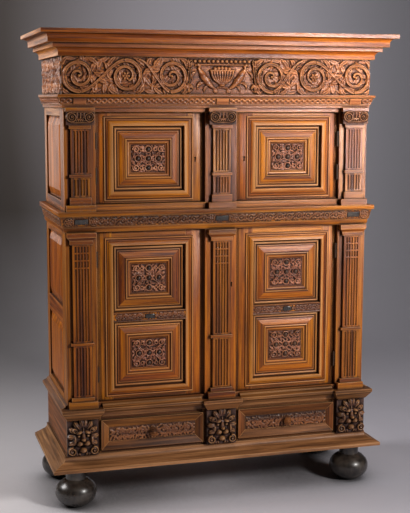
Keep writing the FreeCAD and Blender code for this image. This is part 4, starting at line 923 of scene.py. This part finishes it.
def mane(face):
    """Thick locks round the face, curled ears, a curl at each lower corner and a beard between them."""
    for side in (-1, 1):
        for k in range(5):
            turn = math.radians(8 + 27 * k)
            way = np.array((side * math.sin(turn), math.cos(turn)))
            middle = way * (50, 62) + (0, 8)
            face.dome(middle, (25, 14), 24, math.atan2(way[1], way[0]))
            for shift in (-4.5, 4.5):
                beside = np.array((-way[1], way[0])) * shift
                face.cut([middle - 14 * way + beside, middle + 22 * way + beside], 1.7, 5)
        face.stem(spiral((side * 40, 38), 90 - 90 * side, 1.4 * side, 11, 3), 4.2, 25, rounded, True)
        face.dome((side * 40, 38), (4.5, 4.5), 21)
        face.stem(spiral((side * 50, -60), 90, -1.5 * side, 18, 5), 5.2, 20)
        face.dome((side * 50, -60), (6, 6), 20)
        for k in range(3):
            face.leaf((side * (16 + 13 * k), -62), (side * (10 + 11 * k), -85), 0.2 * side, 6.5, 12, 2)


def capital():
    """Two volutes joined by a band, with tongues between them and beads below."""
    face = Relief(128, 60, 1.1)
    for side in (-1, 1):
        eye = (side * 39, 4)
        line = spiral(eye, 90, 2.1 * -side, 22.5, 5, 110)
        face.dome(eye, (25, 25), 3.0)
        face.stem(line, np.linspace(4.0, 2.0, len(line)), 8.5)
        face.dome(eye, (5.5, 5.5), 9)
    face.level(39, 26.5, 3.6, 7)
    for k in range(3):
        u = (k - 1) * 15.5
        face.stem([(u, 20), (u, 2)], (6.4, 5.0), (8, 7))
        face.stem([(u - 7.8, 20), (u - 7.8, -2)], 1.4, 6)
    face.stem([(23.4, 20), (23.4, 2)], 1.4, 6)
    for k in range(9):
        face.dome(((k - 4) * 9.6, -12), (4.2, 4.2), 6)
    face.level(42, -20, 3.0, 5.5)
    return face.worked(0.06)


def turned(profile, foot, count=40):
    """Points and faces of a form turned about an axis to the front: radius and height in millimetres."""
    turn = np.linspace(0, 2 * np.pi, count, endpoint=False)
    spokes = -np.stack([np.cos(turn), np.zeros(count), np.sin(turn)], 1)
    middles = [np.array(foot) - (0, height, 0) for _, height in profile]
    rings = [middle + spokes * radius for middle, (radius, _) in zip(middles, profile)]
    points = np.concatenate([*rings, middles[:1], middles[-1:]]) * MM
    faces = []
    around = np.arange(count)
    for k in range(len(profile) - 1):
        low, high = k * count + around, (k + 1) * count + around
        faces.extend(np.stack([low, np.roll(low, -1), np.roll(high, -1), high], 1).tolist())
    base, tip = len(points) - 2, len(points) - 1
    last = (len(profile) - 1) * count + around
    faces.extend(np.stack([np.roll(around, -1), around, np.full(count, base)], 1).tolist())
    faces.extend(np.stack([last, np.roll(last, -1), np.full(count, tip)], 1).tolist())
    return points, faces


KNOB = ((21, 0), (21, 3), (19.4, 5), (17, 5), (15.6, 3.6), (14.2, 5.6), (10, 8), (8.5, 11), (8.6, 16),
        (12, 20.5), (17.2, 23), (19, 26), (18.8, 29), (17, 31.2), (15.6, 30.8), (14.4, 32.2), (12, 34.8),
        (10.4, 34.3), (9.2, 35.4), (6.4, 38), (3.2, 39.5), (0.6, 40))
BOSS = ((10.5, -1.5), (10.5, 2), (10.2, 4), (9.3, 6.3), (7.6, 8.5), (5.2, 10.2), (2.6, 11.2), (0.5, 11.5))


def knob(node, middle):
    points, faces = turned(KNOB, middle)
    made = piece(node + "_turned", points, faces, frame["nodes"][node]["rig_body"], "black_wood", "drawer_oak")
    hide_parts(node)


def bosses(door, seats):
    """Dark turned bosses in the ringed seats of a door's carved fields."""
    points, faces = [], []
    for seat in seats:
        more, loops = turned(BOSS, seat, 28)
        start = sum(len(p) for p in points)
        points.append(more)
        faces.extend([[start + i for i in loop] for loop in loops])
    piece(door + "_bosses", np.concatenate(points), faces, door, "black_wood", "dark_oak")


# The cabinet

REPLACED = ("_drawer_knob", "lion_blocks", "_door_moulding")
PLAIN = ("_bun_feet", "_dowels")
UPRIGHT = ("side_panels", "_back", "_door_panels")
LOOKS = {"base_moulding": "worn_oak", "step_moulding": "dusty_oak"}
LOOKS |= dict.fromkeys(("left_drawer_front", "right_drawer_front", "plinth_case"), "drawer_oak")
LOOKS |= dict.fromkeys(("lower_pilasters", "upper_pilasters", "lower_left_door_pilaster", "lower_case_frame",
                        "upper_case_frame", "waist_moulding", "architrave"), "post_oak")
DOOR_BOARD_LEAST = 345


def door_board(span):
    """Only the plain board or rail of a door's panel, not the frames laid on it."""
    return span[0] > DOOR_BOARD_LEAST


for part in frame["record"]["subparts"]:
    name, slot = part["node"], part["material_slot"]
    if name.endswith(REPLACED):
        continue
    plain = slot == "iron" or name.endswith(PLAIN)
    keep = door_board if name.endswith(("_door_panel", "_door_panels")) else None
    dress(name, slot, 0 if plain else EASE, LOOKS.get(name), name.endswith(UPRIGHT), keep)

carve("frieze_carving", frieze_front(), (0, FRONT - FRIEZE_OUT, FRIEZE_MIDDLE), deep=6.5)
for side, hand in HANDS:
    place = (side * (HALF + FRIEZE_OUT), SIDE_MIDDLE, FRIEZE_MIDDLE)
    carve("frieze_carving_" + hand, frieze_side(), place, (0, side, 0), deep=7.0)


def sloped_band(name, maker, slope, look):
    """A carved band on a sloping face, along the front and down both sides."""
    (out_low, z_low), (out_high, z_high) = slope
    out, middle = (out_low + out_high) / 2, (z_low + z_high) / 2
    height = math.hypot(out_high - out_low, z_high - z_low)
    lean, rise = (out_high - out_low) / height, (z_high - z_low) / height
    front = maker(2 * (HALF + out_low), PILASTERS)
    carve(name, front, (0, FRONT - out, middle), (1, 0, 0), (0, -lean, rise), look=look)
    for side, hand in HANDS:
        flank = maker(BACK - FRONT - 8, ())
        carve(name + "_" + hand, flank, (side * (HALF + out), SIDE_MIDDLE, middle), (0, side, 0),
              (side * lean, 0, rise), look=look)


# How far out and how high the two edges of each sloping face lie
ARCHITRAVE_SLOPE = ((12, 1874), (22, 1903))
WAIST_SLOPE = ((14, 1324), (24, 1369))
sloped_band("architrave_carving", architrave_band, ARCHITRAVE_SLOPE, "carved")
sloped_band("waist_carving", waist_band, WAIST_SLOPE, "dusky_oak")

FIELD_FACE = -197.5
PANEL_FACE = -195.0
DOOR_FACE = -210.5
BAND_FACE = -219.5
BAND_MIDDLE = 893.0
OPENING_U = (165.0, 518.0)
OPENINGS = {"upper": ((1468.0, 1776.0),), "lower": ((916.0, 1226.0), (552.0, 870.0))}
FRAME_EDGE = 35.0
# Width of the outer moulding, how far it is lifted at the top, and width of the ring inside it
MOULDINGS = {"upper": (46.0, 9.0, 86.0), "lower": (40.0, 5.0, 90.0)}


def door_carving(door, number, rect, width):
    """The carved field inside a panel's ring, and the places of its bosses."""
    wide, height = rect[1] - rect[0] - 2 * width, rect[3] - rect[2] - 2 * width
    u, z = (rect[0] + rect[1]) / 2, (rect[2] + rect[3]) / 2
    carve(f"{door}_carving_{number}", door_field(wide, height), (u, FIELD_FACE, z), body=door, back=6.0,
          deep=5.5, look="field_oak")
    return [(u + du, FIELD_FACE, z + dv) for du, dv in field_seats(height)]


def door_looks(level, hand, side):
    """Mouldings, rings, carved fields and bosses of one door."""
    door = f"{level}_{hand}_door"
    width, lift, ring_width = MOULDINGS[level]
    left, right = sorted((side * OPENING_U[0], side * OPENING_U[1]))
    openings = OPENINGS[level]
    low, high = openings[-1][0], openings[0][1] + lift
    outer = (left - FRAME_EDGE, right + FRAME_EDGE, low - FRAME_EDGE, high + FRAME_EDGE)
    lap = width - FRAME_EDGE
    seats, rings = [], []
    for number, (bottom, top) in enumerate(openings):
        rect = (left + lap, right - lap, low + lap if bottom == low else bottom,
                high - lap if top + lift == high else top)
        seats += door_carving(door, number, rect, ring_width)
        rings.append((rect, PANEL_FACE, panel_ring(ring_width), 2.0))
    bosses(door, seats)
    laid_frames(door + "_panel_frames", rings, door, ())
    laid_frames(door + "_bolection", [(outer, DOOR_FACE, bolection(width), 8.0)], door, (door + "_moulding",))


STAND_MIDDLE = 343.5
DRAWER_U = 335.5
DRAWER_FACE = FRONT - 3
LION_U = 671
LION_FACE = FRONT - 20
CAPITAL_FACE = FRONT - 29
CAPITAL_MIDDLE = 1812

for side, hand in HANDS:
    for level in OPENINGS:
        door_looks(level, hand, side)
    door, drawer = f"lower_{hand}_door", f"{hand}_drawer"
    place = (side * sum(OPENING_U) / 2, BAND_FACE, BAND_MIDDLE)
    carve(door + "_band", door_band(), place, body=door, look="dusky_oak")
    place = (side * DRAWER_U, DRAWER_FACE, STAND_MIDDLE)
    carve(drawer + "_carving", drawer_band(), place, body=drawer, look="dusky_oak")
    knob(drawer + "_knob", place)

for hand, x in (("left", -LION_U), ("middle", 0), ("right", LION_U)):
    mask = carve(f"lion_mask_{hand}", lion(), (x, LION_FACE, STAND_MIDDLE), back=18.0, upright=True, deep=7.0,
                 look="lion_oak")
    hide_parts("lion_blocks")

for hand, x in zip(("left", "middle", "right"), PILASTERS):
    place = (x, CAPITAL_FACE, CAPITAL_MIDDLE)
    carve(f"capital_carving_{hand}", capital(), place, upright=True, look="dusky_oak")


# Camera, light and studio

EYE = (-1.536, -5.1765, 1.890)
YAW, PITCH, ROLL = (math.radians(angle) for angle in (16.59, 7.92, 0.13))
SENSOR_HEIGHT = 36
LENS = 77.75
SHIFT = (-0.0057, -0.0031)


def place_camera():
    """The camera of the photo, from its place, compass angle, tilt and roll."""
    ahead = Vector((math.sin(YAW) * math.cos(PITCH), math.cos(YAW) * math.cos(PITCH), -math.sin(PITCH)))
    right = ahead.cross(Vector((0, 0, 1))).normalized()
    turn = Matrix((right, right.cross(ahead), -ahead)).transposed().to_4x4()
    camera = bpy.data.objects.new("camera", bpy.data.cameras.new("camera"))
    bpy.context.scene.collection.objects.link(camera)
    camera.matrix_world = Matrix.Translation(EYE) @ turn @ Matrix.Rotation(ROLL, 4, "Z")
    camera.data.sensor_fit = "VERTICAL"
    camera.data.sensor_height = SENSOR_HEIGHT
    camera.data.lens = LENS
    camera.data.shift_x, camera.data.shift_y = SHIFT
    bpy.context.scene.camera = camera


def soft_box(name, place, aim, size, power, colour, spread=180.0):
    lamp = bpy.data.lights.new(name, "AREA")
    lamp.spread = math.radians(spread)
    lamp.shape = "RECTANGLE"
    lamp.size, lamp.size_y = size
    lamp.energy = power
    lamp.color = colour
    holder = bpy.data.objects.new(name, lamp)
    bpy.context.scene.collection.objects.link(holder)
    holder.location = place
    holder.rotation_euler = (Vector(aim) - Vector(place)).to_track_quat("-Z", "Y").to_euler()


def studio():
    """A sheet of paper that lies on the floor and rises in a wide curve behind the cabinet."""
    reach, wall, bend = 9.0, 5.0, 2.6
    line = [(-reach, 0.0)]
    for k in range(13):
        turn = math.radians(90 * k / 12)
        line.append((wall - bend + bend * math.sin(turn), bend - bend * math.cos(turn)))
    line.append((wall, reach))
    points = [(x, y, z) for y, z in line for x in (-reach, reach)]
    faces = [(2 * k, 2 * k + 1, 2 * k + 3, 2 * k + 2) for k in range(len(line) - 1)]
    mesh = bpy.data.meshes.new("studio_paper")
    mesh.from_pydata(points, [], faces)
    mesh.polygons.foreach_set("use_smooth", np.ones(len(faces), bool))
    mesh.materials.append(studio_paper("studio_paper"))
    sheet = bpy.data.objects.new("studio_paper", mesh)
    bpy.context.scene.collection.objects.link(sheet)


place_camera()
studio()
soft_box("key", (2.75, -4.3, 2.8), (0.0, -0.2, 1.2), (0.9, 1.0), 216, (1.0, 0.97, 0.94))
soft_box("right_sheen", (2.55, -5.0, 2.0), (1.5, -0.2, 2.15), (1.3, 1.4), 27, (1.0, 0.95, 0.97), 36.0)
soft_box("left_wash", (-3.3, 0.9, 2.6), (-0.9, 0.0, 0.9), (1.4, 1.4), 84, (1.0, 0.97, 0.96))
soft_box("left_rear", (-1.55, 3.4, 1.9), (-0.75, 0.0, 1.55), (0.8, 1.6), 0.5, (1.0, 0.96, 0.92), 44.0)
AIR_COLOUR = (0.9, 0.9, 0.92, 1)
AIR_STRENGTH = 0.03
world = bpy.data.worlds.new("studio_air")
world.use_nodes = True
air = world.node_tree.nodes["Background"].inputs
air["Color"].default_value = AIR_COLOUR
air["Strength"].default_value = AIR_STRENGTH
bpy.context.scene.world = world
bpy.context.scene.view_settings.view_transform = "Standard"
